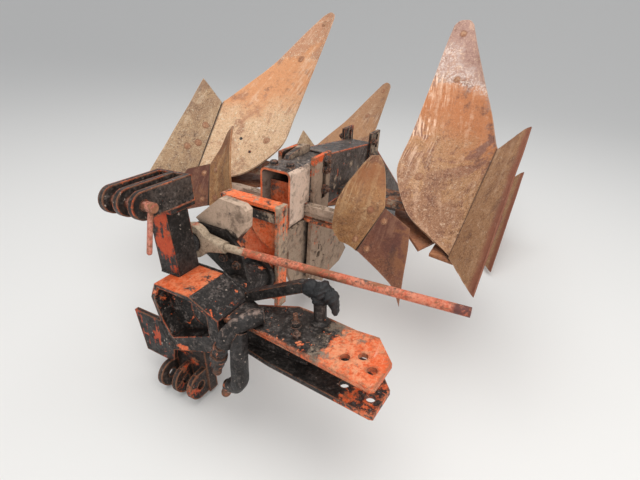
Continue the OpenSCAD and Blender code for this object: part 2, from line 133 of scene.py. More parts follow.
class Group:
    """Gathers many small solids into one piece."""

    def __init__(self):
        self.v, self.f = [], []

    def add(self, verts, faces):
        k = len(self.v)
        self.v += [Vector(v) for v in verts]
        self.f += [[i + k for i in f] for f in faces]

    def lathe(self, profile, at, axis, n=24, phase=0.0):
        """profile is a list of (radius, height) in mm, from below to above."""
        z = Vector(axis).normalized()
        x = z.orthogonal().normalized()
        y = z.cross(x)
        verts = []
        for r, h in profile:
            for k in range(n):
                a = phase + 2 * pi * k / n
                verts.append(Vector(at) + (x * cos(a) * r + y * sin(a) * r + z * h) / 1000)
        self.add(verts, loop_faces(len(profile), n))

    def bolt(self, at, axis, af, h, washer=0.0, stud=None):
        """A hexagon af mm across and h mm high. washer is a diameter, stud a diameter and a length."""
        phase = rng.random() * 6.28
        base = -2.0  # it starts below the surface
        if washer:
            self.lathe([(washer / 2 - 1, base), (washer / 2, base + 1), (washer / 2, 2.2),
                        (washer / 2 - 1.2, 3.0)], at, axis, 28)
            base = 2.8
        r = af / 2 / cos(pi / 6)
        self.lathe([(r * 0.985, base), (r, base + 0.8), (r, base + h - 2), (r * 0.9, base + h)], at, axis,
                   6, phase)
        if stud:
            d, length = stud
            prof = [(d / 2 - 0.4, base + h - 1)]
            t = base + h
            while t < base + h + length:
                prof += [(d / 2, t + 0.8), (d / 2 - 1.0, t + 2.0)]
                t += 2.4
            prof += [(d / 2 - 1.6, base + h + length + 1.2)]
            self.lathe(prof, at, axis, 20)

    def bead(self, path, r, seed):
        """A weld bead: a scalloped rod along a path of frame points."""
        g = random.Random(seed)
        pts = [Vector(p) for p in path]
        run = [0.0]
        for a, b in zip(pts, pts[1:]):
            run.append(run[-1] + (b - a).length * 1000)
        total = run[-1]
        n = max(3, int(total / 3.2))
        rings, prev = [], None
        for i in range(n + 1):
            d = total * i / n
            k = max(j for j in range(len(run) - 1) if run[j] <= d + 1e-6) if d < total else len(run) - 2
            q = (d - run[k]) / max(1e-6, run[k + 1] - run[k])
            p = pts[k].lerp(pts[k + 1], q)
            t = (pts[k + 1] - pts[k]).normalized()
            x = t.orthogonal().normalized() if prev is None else (prev - t * prev.dot(t)).normalized()
            prev = x
            y = t.cross(x)
            rr = r * (0.8 + 0.2 * abs(sin(d * pi / 7.0)) + g.uniform(-0.09, 0.09))
            if i in (0, n):
                rr *= 0.45
            rings.append([p + (x * cos(a) + y * sin(a)) * rr / 1000
                          for a in (2 * pi * m / 8 for m in range(8))])
        self.add([v for ring in rings for v in ring], loop_faces(n + 1, 8))

    def tube(self, path, radii, n, wobble, seed, up, square):
        """A swept rod with its own radius (mm) at each path point; square above 2 flattens its sides."""
        g = random.Random(seed)
        pts = [Vector(p) for p in path]
        verts = []
        for i, p in enumerate(pts):
            t = (pts[min(i + 1, len(pts) - 1)] - pts[max(i - 1, 0)]).normalized()
            x = (Vector(up) - t * Vector(up).dot(t)).normalized()
            y = t.cross(x)
            for k in range(n):
                a = 2 * pi * k / n
                r = radii[i] * (1 + wobble * (g.random() - 0.5))
                r /= (abs(cos(a)) ** square + abs(sin(a)) ** square) ** (1 / square)
                verts.append(p + (x * cos(a) * r + y * sin(a) * r) / 1000)
        self.add(verts, loop_faces(len(pts), n))

    def make(self, name, mat, body, slot, replaced=None, **shading):
        piece(name, self.v, self.f, mat, body, slot, replaced, **shading)


def smooth_path(points, radii):
    """Catmull-Rom through points, with radii carried along."""
    per = 8  # steps from one point to the next
    p = [np.array(q, float) for q in points]
    r = list(radii)
    out, rad = [], []
    for i in range(len(p) - 1):
        a, b, c, d = p[max(i - 1, 0)], p[i], p[i + 1], p[min(i + 2, len(p) - 1)]
        for k in range(per + (1 if i == len(p) - 2 else 0)):
            t = k / per
            out.append(0.5 * ((2 * b) + (c - a) * t + (2 * a - 5 * b + 4 * c - d) * t * t
                              + (3 * b - a - 3 * c + d) * t ** 3))
            rad.append(r[i] * (1 - t) + r[i + 1] * t)
    return out, rad


# Sheets
def spline(keys, u, straight=0):
    """Smooth curve through keys; the first segments up to `straight` stay straight lines."""
    i = min(int(u), len(keys) - 2)
    t = u - i
    a, b = keys[i], keys[i + 1]
    if i < straight:
        return a * (1 - t) + b * t
    m0 = (b - keys[i - 1]) * 0.45 if i > straight else (b - a) * 0.9
    m1 = (keys[i + 2] - a) * 0.45 if i + 2 < len(keys) else (b - a) * 0.9
    t2, t3 = t * t, t ** 3
    return (2 * t3 - 3 * t2 + 1) * a + (t3 - 2 * t2 + t) * m0 + (3 * t2 - 2 * t3) * b + (t3 - t2) * m1


def sheet(name, replaced, fn, nu, nv, thick, mat, place, side, bevel=2.2):
    """A plate through fn(u, v), given thickness along its normal; place() moves its points."""
    g = np.array([[fn(i / nu, j / nv) for j in range(nv + 1)] for i in range(nu + 1)], float)
    du = np.gradient(g, axis=0)
    dv = np.gradient(g, axis=1)
    nrm = np.cross(du, dv)
    nrm /= norm(nrm, axis=2, keepdims=True) + 1e-12

    def run(line):
        return np.concatenate([[0], np.cumsum(norm(np.diff(line, axis=0), axis=1))]) / 1000

    run_u = run(g[:, nv // 2])
    verts, uv, grid = [], [], []
    for layer in (0, 1):
        for i in range(nu + 1):
            row_v = run(g[i])
            for j in range(nv + 1):
                t = thick(i / nu, j / nv) if callable(thick) else thick
                p = g[i, j] + nrm[i, j] * t * layer
                verts.append(world(place((side * p[0], p[1], p[2]))))
                uv.append((run_u[i], row_v[j] - row_v[-1] / 2))
                grid.append((i / nu, j / nv))
    w = nv + 1
    size = (nu + 1) * w
    faces = []
    for i in range(nu):
        for j in range(nv):
            q = [i * w + j, (i + 1) * w + j, (i + 1) * w + j + 1, i * w + j + 1]
            faces.append(q[::-1])
            faces.append([k + size for k in q])
    rim = [j for j in range(w)] + [i * w + nv for i in range(1, nu + 1)] \
        + [nu * w + j for j in range(nv - 1, -1, -1)] + [i * w for i in range(nu - 1, 0, -1)]
    for k, a in enumerate(rim):
        b = rim[(k + 1) % len(rim)]
        faces.append([a, b, b + size, a + size])
    piece(name, verts, turned(faces, side), mat, "frame", "rusty_steel", replaced, uv=uv, grid=grid,
          bevel=bevel / 1000, angle=48)


def A(*p):
    return np.array(p, float)


# The joint between share and mouldboard, the corners of the share, and the mouldboard's two edges
JA, JB = A(575, -45, 20), A(616, 228, 331)
POINT, WING = A(690, -245, 24), A(700, 200, 430)
LOW = [JA, JA * 0.66 + JB * 0.34, JA * 0.32 + JB * 0.68, JB, A(560, 360, 410), A(501, 478, 492),
       A(412, 618, 630), A(346, 733, 730)]
HIGH = [A(500, -8, 42), A(370, 82, 82), A(270, 205, 188), A(272, 318, 300), A(275, 420, 415),
        A(277, 512, 522), A(280, 612, 640), A(286, 687, 726)]
BOARD_T, SHARE_T, SKIM_T = 8, 10, 7
HOLLOW_DEPTH, JOINT_GAP = 42, 6
HOLLOW = [A(h) for h in (0.1, 0.5, 0.9, 1, 0.85, 0.65, 0.35, 0.15)]


def across(a, b, s, h):
    """A point from a to b, bowed by h in the middle."""
    return a * (1 - s) + b * s + A(0, 4 * s * (1 - s) * h, 0)


def board_point(u, v):
    """u runs from the share to the tail, v from the lower edge to the inner edge."""
    q = 7 * u
    q *= 1 - 0.03 * abs(2 * v - 1) ** 4 * u ** 3
    return across(spline(LOW, q, 3), spline(HIGH, q), v, HOLLOW_DEPTH * float(spline(HOLLOW, q)[0]))


def wear(seed):
    """A smooth random wave along an edge."""
    g = random.Random(seed)
    waves = [(g.uniform(5, 26), g.uniform(0, 6.28), g.uniform(0.3, 1.0)) for _ in range(5)]
    return lambda u: sum(a * sin(f * u + p) for f, p, a in waves) / 2.6


def worn_board(seed):
    """A mouldboard with slightly wavy worn edges."""
    w0, w1 = wear(seed), wear(seed + 1)

    def fn(u, v):
        lo = 0.006 * (1 + w0(u)) * (u > 0.44)
        hi = 0.006 * (1 + w1(u))
        return board_point(u, lo + (1 - lo - hi) * v)
    return fn


def worn_share(seed):
    """A share with a worn cutting edge, one joint gap away from its board."""
    w = wear(seed)
    gap = (POINT - JA) / norm(POINT - JA) * JOINT_GAP
    a, b = JA + gap, JB + gap

    def fn(u, v):
        edge = POINT * (1 - u) + WING * u
        edge = edge + A(-1.2, 0, 0) * max(0.1, 1 + w(u)) + A(0, 4 * u * (1 - u) * 5, 0)
        inner = a * (1 - u) + b * u
        return edge * (1 - v) + inner * v
    return fn


def share_thick(_, v):
    """The share thins towards its cutting edge."""
    return SHARE_T * (0.3 + 0.7 * min(1.0, v / 0.16) ** 0.7)


def skim_thick(_, v):
    return SKIM_T * (0.4 + 0.6 * min(1, v / 0.2))


def place_body(row):
    """row is 0 for the front pair and 1 for the rear pair."""
    return lambda p: (p[0], p[1] + PITCH * row, p[2] + FURROW * (1 - row))


# The skimmers: joint, edges of the board, then the share's point, edges and rows
SKA, SKB = A(310, -229, 446), A(360, -150, 577)
SK = [[SKA, A(238, -204, 452)], [SKA * 0.67 + SKB * 0.33, A(209, -207, 492)],
      [SKA * 0.33 + SKB * 0.67, A(210, -210, 545)], [SKB, A(216, -205, 594)],
      [A(340, -109, 633), A(232, -180, 643)], [A(328, -94, 670), A(246, -161, 670)],
      [A(318, -86, 698), A(264, -131, 707)], [A(303, -84, 722), A(280, -107, 731)]]
SK_OUT, SK_IN = [r[0] for r in SK], [r[1] for r in SK]


def skim_board(u, v):
    q = 7 * u
    q *= 1 - 0.02 * abs(2 * v - 1) ** 3 * u ** 2
    return across(spline(SK_OUT, q, 3), spline(SK_IN, q), v, 8)


SK_GAP = A(147, 49, 102) / norm(A(147, 49, 102)) * 3.6
SK_LOW, SK_HIGH = SKA + SK_GAP, SKB + SK_GAP
SK_P = A(496, -309, 356)
SK_EDGE = [SK_P, A(482, -259, 430), A(471, -215, 497), A(457, -180, 548)]
SK_FOOT = [SK_P, SK_P * 0.81 + SK_LOW * 0.19 + A(0, 12, 18), SK_P * 0.47 + SK_LOW * 0.53 + A(0, 8, 14),
           SK_LOW]
SK_ROWS = [SK_FOOT] + [[SK_EDGE[i + 1] * (1 - q) + (SK_LOW * (2 - i) + SK_HIGH * (i + 1)) / 3 * q
                        for q in (0, 1 / 3, 2 / 3, 1)] for i in range(3)]


def skim_share(u, v):
    cols = [spline([SK_ROWS[i][j] for i in range(4)], 3 * u) for j in range(4)]
    return spline(cols, 3 * v)


# Materials
class Net:
    """Builds the nodes of one material. w sets its noises apart from those of other materials."""

    def __init__(self, name, w=0.0):
        self.m = bpy.data.materials.new(name)
        self.m.use_nodes = True
        self.t = self.m.node_tree
        self.t.nodes.clear()
        self.w = w
        out = self.t.nodes.new("ShaderNodeOutputMaterial")
        self.bsdf = self.t.nodes.new("ShaderNodeBsdfPrincipled")
        self.t.links.new(self.bsdf.outputs[0], out.inputs[0])
        tc = self.t.nodes.new("ShaderNodeTexCoord")
        self.co, self.nrm, self.uv = tc.outputs["Object"], tc.outputs["Normal"], tc.outputs["UV"]

    def put(self, sock, v):
        """Links a socket to v, or sets it to v as a number or a colour."""
        if isinstance(v, bpy.types.NodeSocket):
            self.t.links.new(v, sock)
        elif hasattr(sock.default_value, "__len__") and not hasattr(v, "__len__"):
            sock.default_value = [v] * len(sock.default_value)
        elif hasattr(v, "__len__") and len(sock.default_value) == 4:
            sock.default_value = tuple(v) + (1,)
        else:
            sock.default_value = v

    def node(self, kind, inputs, out=0, **settings):
        """Adds a node and gives one of its outputs."""
        n = self.t.nodes.new("ShaderNode" + kind)
        for key, v in settings.items():
            setattr(n, key, v)
        for key, v in inputs.items():
            self.put(n.inputs[key], v)
        return n.outputs[out]

    def math(self, op, a, b=0.0, clamp=False):
        return self.node("Math", {0: a, 1: b}, operation=op, use_clamp=clamp)

    def add(self, *terms):
        out = terms[0]
        for t in terms[1:]:
            out = self.math("ADD", out, t)
        return out

    def mul(self, a, b):
        return self.math("MULTIPLY", a, b)

    def sub(self, a, b):
        return self.math("SUBTRACT", a, b)

    def blend(self, *terms):
        """A weighted sum: field, weight, field, weight and so on."""
        return self.add(*(self.mul(f, k) for f, k in zip(terms[::2], terms[1::2])))

    def mix(self, f, a, b):
        return self.node("Mix", {0: f, 6: a, 7: b}, 2, data_type="RGBA")

    def lay(self, mask, color, weight=None):
        """Lays a colour over the material's colour where the mask is."""
        self.col = self.mix(mask if weight is None else self.mul(mask, weight), self.col, color)

    def fmix(self, f, a, b):
        return self.node("Mix", {0: f, 2: a, 3: b})

    def step(self, x, lo, hi, a=0.0, b=1.0, kind="SMOOTHSTEP"):
        """Goes from a to b while x goes from lo to hi."""
        return self.node("MapRange", {0: x, 1: lo, 2: hi, 3: a, 4: b}, interpolation_type=kind)

    def noise(self, scale, detail=4.0, rough=0.6, dist=0.0, vec=None, w=0.0):
        x = self.node("TexNoise", {"Vector": vec or self.co, "W": self.w + w, "Scale": scale,
                                   "Detail": detail, "Roughness": rough, "Distortion": dist}, "Fac",
                      noise_dimensions="4D")
        return self.step(x, 0.28, 0.72, kind="LINEAR")

    def dot(self, v, w):
        return self.node("VectorMath", {0: v, 1: w}, "Value", operation="DOT_PRODUCT")

    def stretch(self, v, k):
        return self.node("VectorMath", {0: v, 1: k}, operation="MULTIPLY")

    def edges(self, radius=0.006):
        """1 on worn outer edges, 0 on faces and in corners."""
        rounded = self.node("Bevel", {"Radius": radius}, samples=4)
        turn = self.sub(1.0, self.dot(rounded, self.node("NewGeometry", {}, "Normal")))
        self.ao = self.node("AmbientOcclusion", {"Distance": 0.03}, "AO", samples=3)
        return self.math("MULTIPLY", self.step(turn, 0.015, 0.14), self.step(self.ao, 0.45, 0.85),
                         clamp=True)

    def done(self, rough, bump, depth, normal=None, specular=0.5, metallic=0.0):
        """Sets the shader, with bump as the height of a relief that is depth metres deep."""
        inputs = {"Distance": depth, "Height": bump}
        if normal is not None:
            inputs["Normal"] = normal
        relief = self.node("Bump", inputs)
        for key, v in (("Base Color", self.col), ("Roughness", rough), ("Normal", relief),
                       ("Specular IOR Level", specular), ("Metallic", metallic)):
            self.put(self.bsdf.inputs[key], v)
        return self.m


def times(color, k):
    return tuple(min(1.0, c * k) for c in color)


# Colours that more than one material uses: paint, grease on it with dust and painted sheen, rust, dried
# soil
ORANGE, FADED = (0.76, 0.115, 0.026), (0.86, 0.28, 0.13)
GREASE, DUSTY, DUST_AND_SHEEN = (0.011, 0.009, 0.008), (0.062, 0.052, 0.047), (0.29, 0.235, 0.21)
RUST, RUST2, RUSTD = (0.25, 0.085, 0.04), (0.38, 0.18, 0.1), (0.07, 0.028, 0.018)
MUD, MUD2, MUDD = (0.34, 0.235, 0.155), (0.56, 0.42, 0.31), (0.12, 0.08, 0.055)


def coat(name, base=ORANGE, base2=FADED, grime=GREASE, grime2=DUSTY, mud=MUD, mud2=MUD2,
         g=0.0, gdir=None, gpos=None, m=-1.0, mdir=None, mpos=None, chip=-0.35, edge=0.5, fleck=0.0,
         gs=1.0, ms=1.0, band=None, fold=None, w=0.0, gwide=0.05, eradius=0.006, drips=0.0,
         dust_and_sheen=0.55, scuff=0.5, veil=0.45, size=0.0, shade_box=None):
    """Worn paint: rust under paint, black grime over it with dust, painted sheen and glints, dried soil on
    top, and painted shade in hollows.

    g, m and chip are covers: -1 none, 0 half, 1 all. gdir and mdir are (direction, weight), gpos and mpos
    (direction, from, to, weight) in metres, fold the same for the surface's direction, and band ends in a
    colour. shade_box is a box in X and Z whose walls get painted shade.
    """
    n = Net(name, w)
    step, mul, mix, blend, noise, lay, dot = n.step, n.mul, n.mix, n.blend, n.noise, n.lay, n.dot
    big = noise(6.5 * gs, 5, 0.62, 0.4)
    mid = noise(24 * gs, 6, 0.66, 0.3, w=3)
    fine = noise(110, 5, 0.7, w=5)
    grain = noise(420, 3, 0.6, w=7)
    e = mul(n.edges(eradius), step(blend(mid, 0.6, fine, 0.4), 0.25, 0.5, 0.25, 1.0))
    drip = noise(1.0, 4, 0.6, 0.1, vec=n.stretch(n.co, (42, 42, 7)), w=29)
    ragged = blend(big, 0.42, mid, 0.36, fine, 0.22)

    def cover(amount, field, direction, pos, extra=None, wide=0.05):
        terms = [field, amount]
        if direction:
            terms.append(mul(dot(n.nrm, direction[0]), direction[1]))
        if pos:
            for q in pos if isinstance(pos, list) else [pos]:
                terms.append(mul(step(dot(n.co, q[0]), q[1], q[2]), q[3]))
        if extra is not None:
            terms.append(extra)
        return step(n.add(*terms), 0.5 - wide, 0.5 + wide)

    tone = noise(52 * gs, 4, 0.7, 0.5, w=31)
    paint = mix(step(blend(big, 0.4, fine, 0.35, tone, 0.25), 0.34, 0.68), base, base2)
    paint = mix(mul(step(tone, 0.1, 0.45, 1.0, 0.0), 0.55), paint, times(base, 0.42))
    thin = step(blend(mid, 0.5, big, 0.3, grain, 0.2), 0.5, 0.72)
    paint = mix(mul(thin, veil), paint, (0.06, 0.032, 0.022))
    nick = noise(1.0, 6, 0.75, 0.9, vec=n.stretch(n.co, (70, 9, 70)), w=33)
    paint = mix(mul(step(nick, 0.7, 0.9), scuff), paint, (0.84, 0.46, 0.33))
    rust = mix(mid, RUST, RUST2)
    rust = mix(step(fine, 0.6, 0.9), rust, RUSTD)
    rfield = blend(noise(9, 5, 0.6, w=11), 0.45, noise(55, 6, 0.72, w=13), 0.55)
    chips = cover(chip, rfield, None, None, mul(e, 0.25))
    n.col = mix(chips, paint, rust)
    oil = mix(step(blend(fine, 0.5, big, 0.5), 0.35, 0.85), grime, grime2)
    # Pale grey-pink patches on the grease: dust, and painted sheen that stands for sky reflections on
    # glossy grease.
    dust_and_sheen_field = blend(mid, 0.3, tone, 0.28, fine, 0.27, grain, 0.15)
    oil = mix(mul(step(dust_and_sheen_field, 0.5, 0.76), dust_and_sheen), oil, DUST_AND_SHEEN)
    # Painted glints: sparse pale specks in the grease stand for tiny highlights.
    painted_glint = step(noise(95, 2, 0.5, 0.4, w=41), 0.93, 0.99)
    oil = mix(mul(painted_glint, 0.75), oil, (0.62, 0.5, 0.42))
    extra = n.add(mul(e, -edge), mul(n.sub(drip, 0.5), drips), step(n.ao, 0.3, 0.8, 0.35, 0.0))
    if fleck:
        spots = n.math("MAXIMUM", step(noise(15, 5, 0.62, 1.4, w=17), 0.8 - size, 0.85 - size),
                       step(noise(58, 3, 0.6, 1.0, w=37), 0.9 - size, 0.96 - size))
        extra = n.add(extra, mul(mul(spots, step(n.ao, 0.35, 0.75)), -fleck))
    if fold:
        extra = n.add(extra, mul(step(dot(n.nrm, fold[0]), fold[1], fold[2]), fold[3]))
    gm = cover(g, ragged, gdir, gpos, extra, gwide)
    lay(gm, oil)
    sfield = blend(noise(8 * ms, 5, 0.6, w=19), 0.5, noise(46, 6, 0.75, w=23), 0.5)
    soil = mix(blend(fine, 0.6, grain, 0.4), mud, mud2)
    soil = mix(mul(step(blend(mid, 0.6, tone, 0.4), 0.46, 0.78), 0.72), soil, MUDD)
    mm = cover(m, sfield, mdir, mpos, blend(e, -0.08, n.sub(drip, 0.5), -drips), 0.09)
    lay(mm, soil)
    if band:
        lay(step(dot(n.co, band[0]), band[1], band[2]), band[3], step(mid, 0.1, 0.5))
    # Painted shade: walls in the box that do not face along the rail go near-black for the shade inside the
    # rail's mouth.
    if shade_box:
        x0, x1, z0, z1 = shade_box
        px, pz = dot(n.co, RIGHT), dot(n.co, UP)
        box = mul(mul(step(px, x0 - 0.002, x0 + 0.002), step(px, x1 + 0.002, x1 - 0.002)),
                  mul(step(pz, z0 - 0.002, z0 + 0.002), step(pz, z1 + 0.002, z1 - 0.002)))
        facing = step(n.math("ABSOLUTE", dot(n.nrm, REAR)), 0.3, 0.6, 1.0, 0.0)
        lay(mul(box, facing), (0.016, 0.011, 0.009), 0.92)
    # Painted shade: near-black laid where ambient occlusion finds hollows, corners and gaps between parts.
    lay(step(n.ao, 0.25, 0.85, 0.75, 0.0), (0.014, 0.01, 0.008))
    r = n.fmix(chips, 0.5, 0.85)
    r = n.fmix(gm, r, step(mid, 0.2, 0.9, 0.32, 0.72))
    r = n.fmix(mm, r, 0.95)
    h = blend(chips, -0.35, gm, n.add(0.25, mul(fine, 0.5)), mm, n.add(0.5, mul(grain, 0.35)), fine, 0.12,
              grain, 0.06)
    rounded = n.node("Bevel", {"Radius": 0.0025}, samples=4)
    return n.done(r, h, 0.0016, rounded, specular=0.32)


GAP_SHADE_W, JOINT_END = 0.024, 0.428  # across and along a plate, as shares of it


def plate(name, low, mid_c, tail, stain, dark, pale, scratch=0.6, specks=0.0, pits=0.0, contrast=1.0, w=0.0,
          zones=(0.3, 0.52, 0.74), border=None, is_share=False, gloss=0.0, frosty=0.0):
    """Bare rusty plate, with painted shade in its hollows. Its colours change along it at the zones. A
    painted shadow of the joint gap lies at the joint, on a share's inner edge or a board's lower edge.
    border and frosty add a stained edge and a pale band."""
    n = Net(name, w)
    step, mul, mix, blend, noise, lay, dot = n.step, n.mul, n.mix, n.blend, n.noise, n.lay, n.dot
    grid = n.node("UVMap", {}, uv_map="grid")
    big = noise(4.2, 5, 0.6, 1.0)
    mid = noise(13, 6, 0.7, 0.8, w=2)
    patch = noise(46, 5, 0.7, 0.4, w=3)
    fine = noise(150, 6, 0.78, w=4)
    grain = noise(460, 3, 0.7, w=6)
    along = dot(grid, RIGHT)
    inner = dot(grid, REAR)
    s1 = noise(1.0, 5, 0.62, 0.3, vec=n.stretch(n.uv, (3.5, 26, 1)), w=8)
    s2 = noise(1.0, 4, 0.68, 0.15, vec=n.stretch(n.uv, (4.5, 85, 1)), w=9)
    s3 = noise(1.0, 3, 0.6, 0.4, vec=n.stretch(n.uv, (22, 150, 1)), w=10)
    e = n.edges(0.005)
    shift = n.add(along, mul(n.sub(big, 0.5), 0.2), mul(n.sub(mid, 0.5), 0.05),
                  mul(n.sub(inner, 0.5), -0.1))
    lowness = step(shift, zones[1], zones[0])
    tailness = step(shift, zones[2] - 0.02, zones[2] + 0.03)
    near_tail = mul(step(shift, zones[2] - 0.11, zones[2] - 0.01),
                    step(shift, zones[2] + 0.12, zones[2] + 0.02))
    n.col = mix(lowness, mid_c, low)
    soft = step(blend(big, 0.7, mid, 0.3), 0.5, 0.6)
    lay(soft, stain, n.fmix(lowness, 0.75 * contrast, 0.35 * contrast))
    lay(tailness, tail)
    blot = step(blend(mid, 0.5, s1, 0.35, fine, 0.15), 0.52, 0.74)
    lay(blot, dark, 0.62 * contrast)
    clean = step(blend(mid, 0.3, s1, 0.5, patch, 0.2), 0.46, 0.26)
    lay(clean, pale, 0.3 * contrast)
    worm = step(blend(patch, 0.5, fine, 0.5), 0.52, 0.7)
    lay(worm, dark, n.fmix(lowness, 0.18 * contrast, 0.36 * contrast))
    dots = step(blend(fine, 0.6, grain, 0.4), 0.53, 0.7)
    lay(dots, times(dark, 0.5), n.fmix(lowness, 0.18 * contrast, 0.62 * contrast))
    bright = step(blend(fine, 0.5, grain, 0.5), 0.44, 0.28)
    lay(bright, pale, n.fmix(n.math("MAXIMUM", lowness, tailness), 0.15 * contrast, 0.45 * contrast))
    where = mul(step(blend(big, 0.4, mid, 0.4, fine, 0.2), 0.36, 0.58), step(inner, 0.5, 0.86, 0.08, 1.0))
    where = mul(where, mul(step(along, 0.2, 0.48), step(shift, zones[2] + 0.03, zones[2] - 0.05)))
    lines = n.math("MAXIMUM", step(s2, 0.5, 0.66), step(s3, 0.64, 0.8))
    lay(mul(lines, where), times(pale, 1.15), scratch)
    if frosty:
        frost = mul(near_tail, step(blend(fine, 0.5, patch, 0.3, grain, 0.2), 0.42, 0.62))
        lay(frost, (0.86, 0.74, 0.66), frosty)
    holes = None
    if specks:
        sp = step(blend(fine, 0.6, noise(62, 4, 0.7, w=14), 0.4), 0.6, 0.72)
        sp = mul(sp, n.math("MAXIMUM", n.fmix(lowness, 0.2, 0.8),
                            n.math("MAXIMUM", mul(tailness, 0.8), near_tail)))
        lay(sp, times(pale, 1.3), specks)
    if pits:
        dents = n.node("TexVoronoi", {"Vector": n.co, "Scale": 70}, "Distance")
        holes = mul(step(dents, 0.06, 0.2, 1.0, 0.0), step(noise(30, 3, 0.6, w=12), 0.45, 0.68))
        lay(holes, (0.05, 0.032, 0.024), pits)
    lay(e, pale, 0.45)
    if border:
        rim = n.add(inner, mul(n.sub(mid, 0.5), 0.12), mul(n.sub(fine, 0.5), 0.05))
        lay(step(rim, 0.2, 0.05), border, 0.85)
    # Painted shadow of the gap between share and board: a dark strip on the share's inner edge, or on the
    # board's lower edge up to JOINT_END.
    if is_share:
        gap_shade = step(inner, 1 - GAP_SHADE_W, 1.0)
    else:
        end = step(along, JOINT_END, JOINT_END + 0.01, 1.0, 0.0)
        gap_shade = mul(step(inner, 0.0, GAP_SHADE_W, 1.0, 0.0), end)
    lay(gap_shade, (0.05, 0.028, 0.02), 0.8)
    # Painted shade: near-black laid where ambient occlusion finds hollows and corners.
    lay(step(n.ao, 0.25, 0.8, 0.6, 0.0), (0.03, 0.017, 0.013))
    r = step(blend(mid, 0.5, s1, 0.5), 0.2, 0.8, 0.78, 0.42)
    h = blend(s2, 0.1, fine, 0.35, grain, 0.25, patch, 0.35)
    if holes is not None:
        h = n.add(h, mul(holes, -0.6))
    return n.done(r, h, 0.002, specular=0.35 + gloss, metallic=0.15)
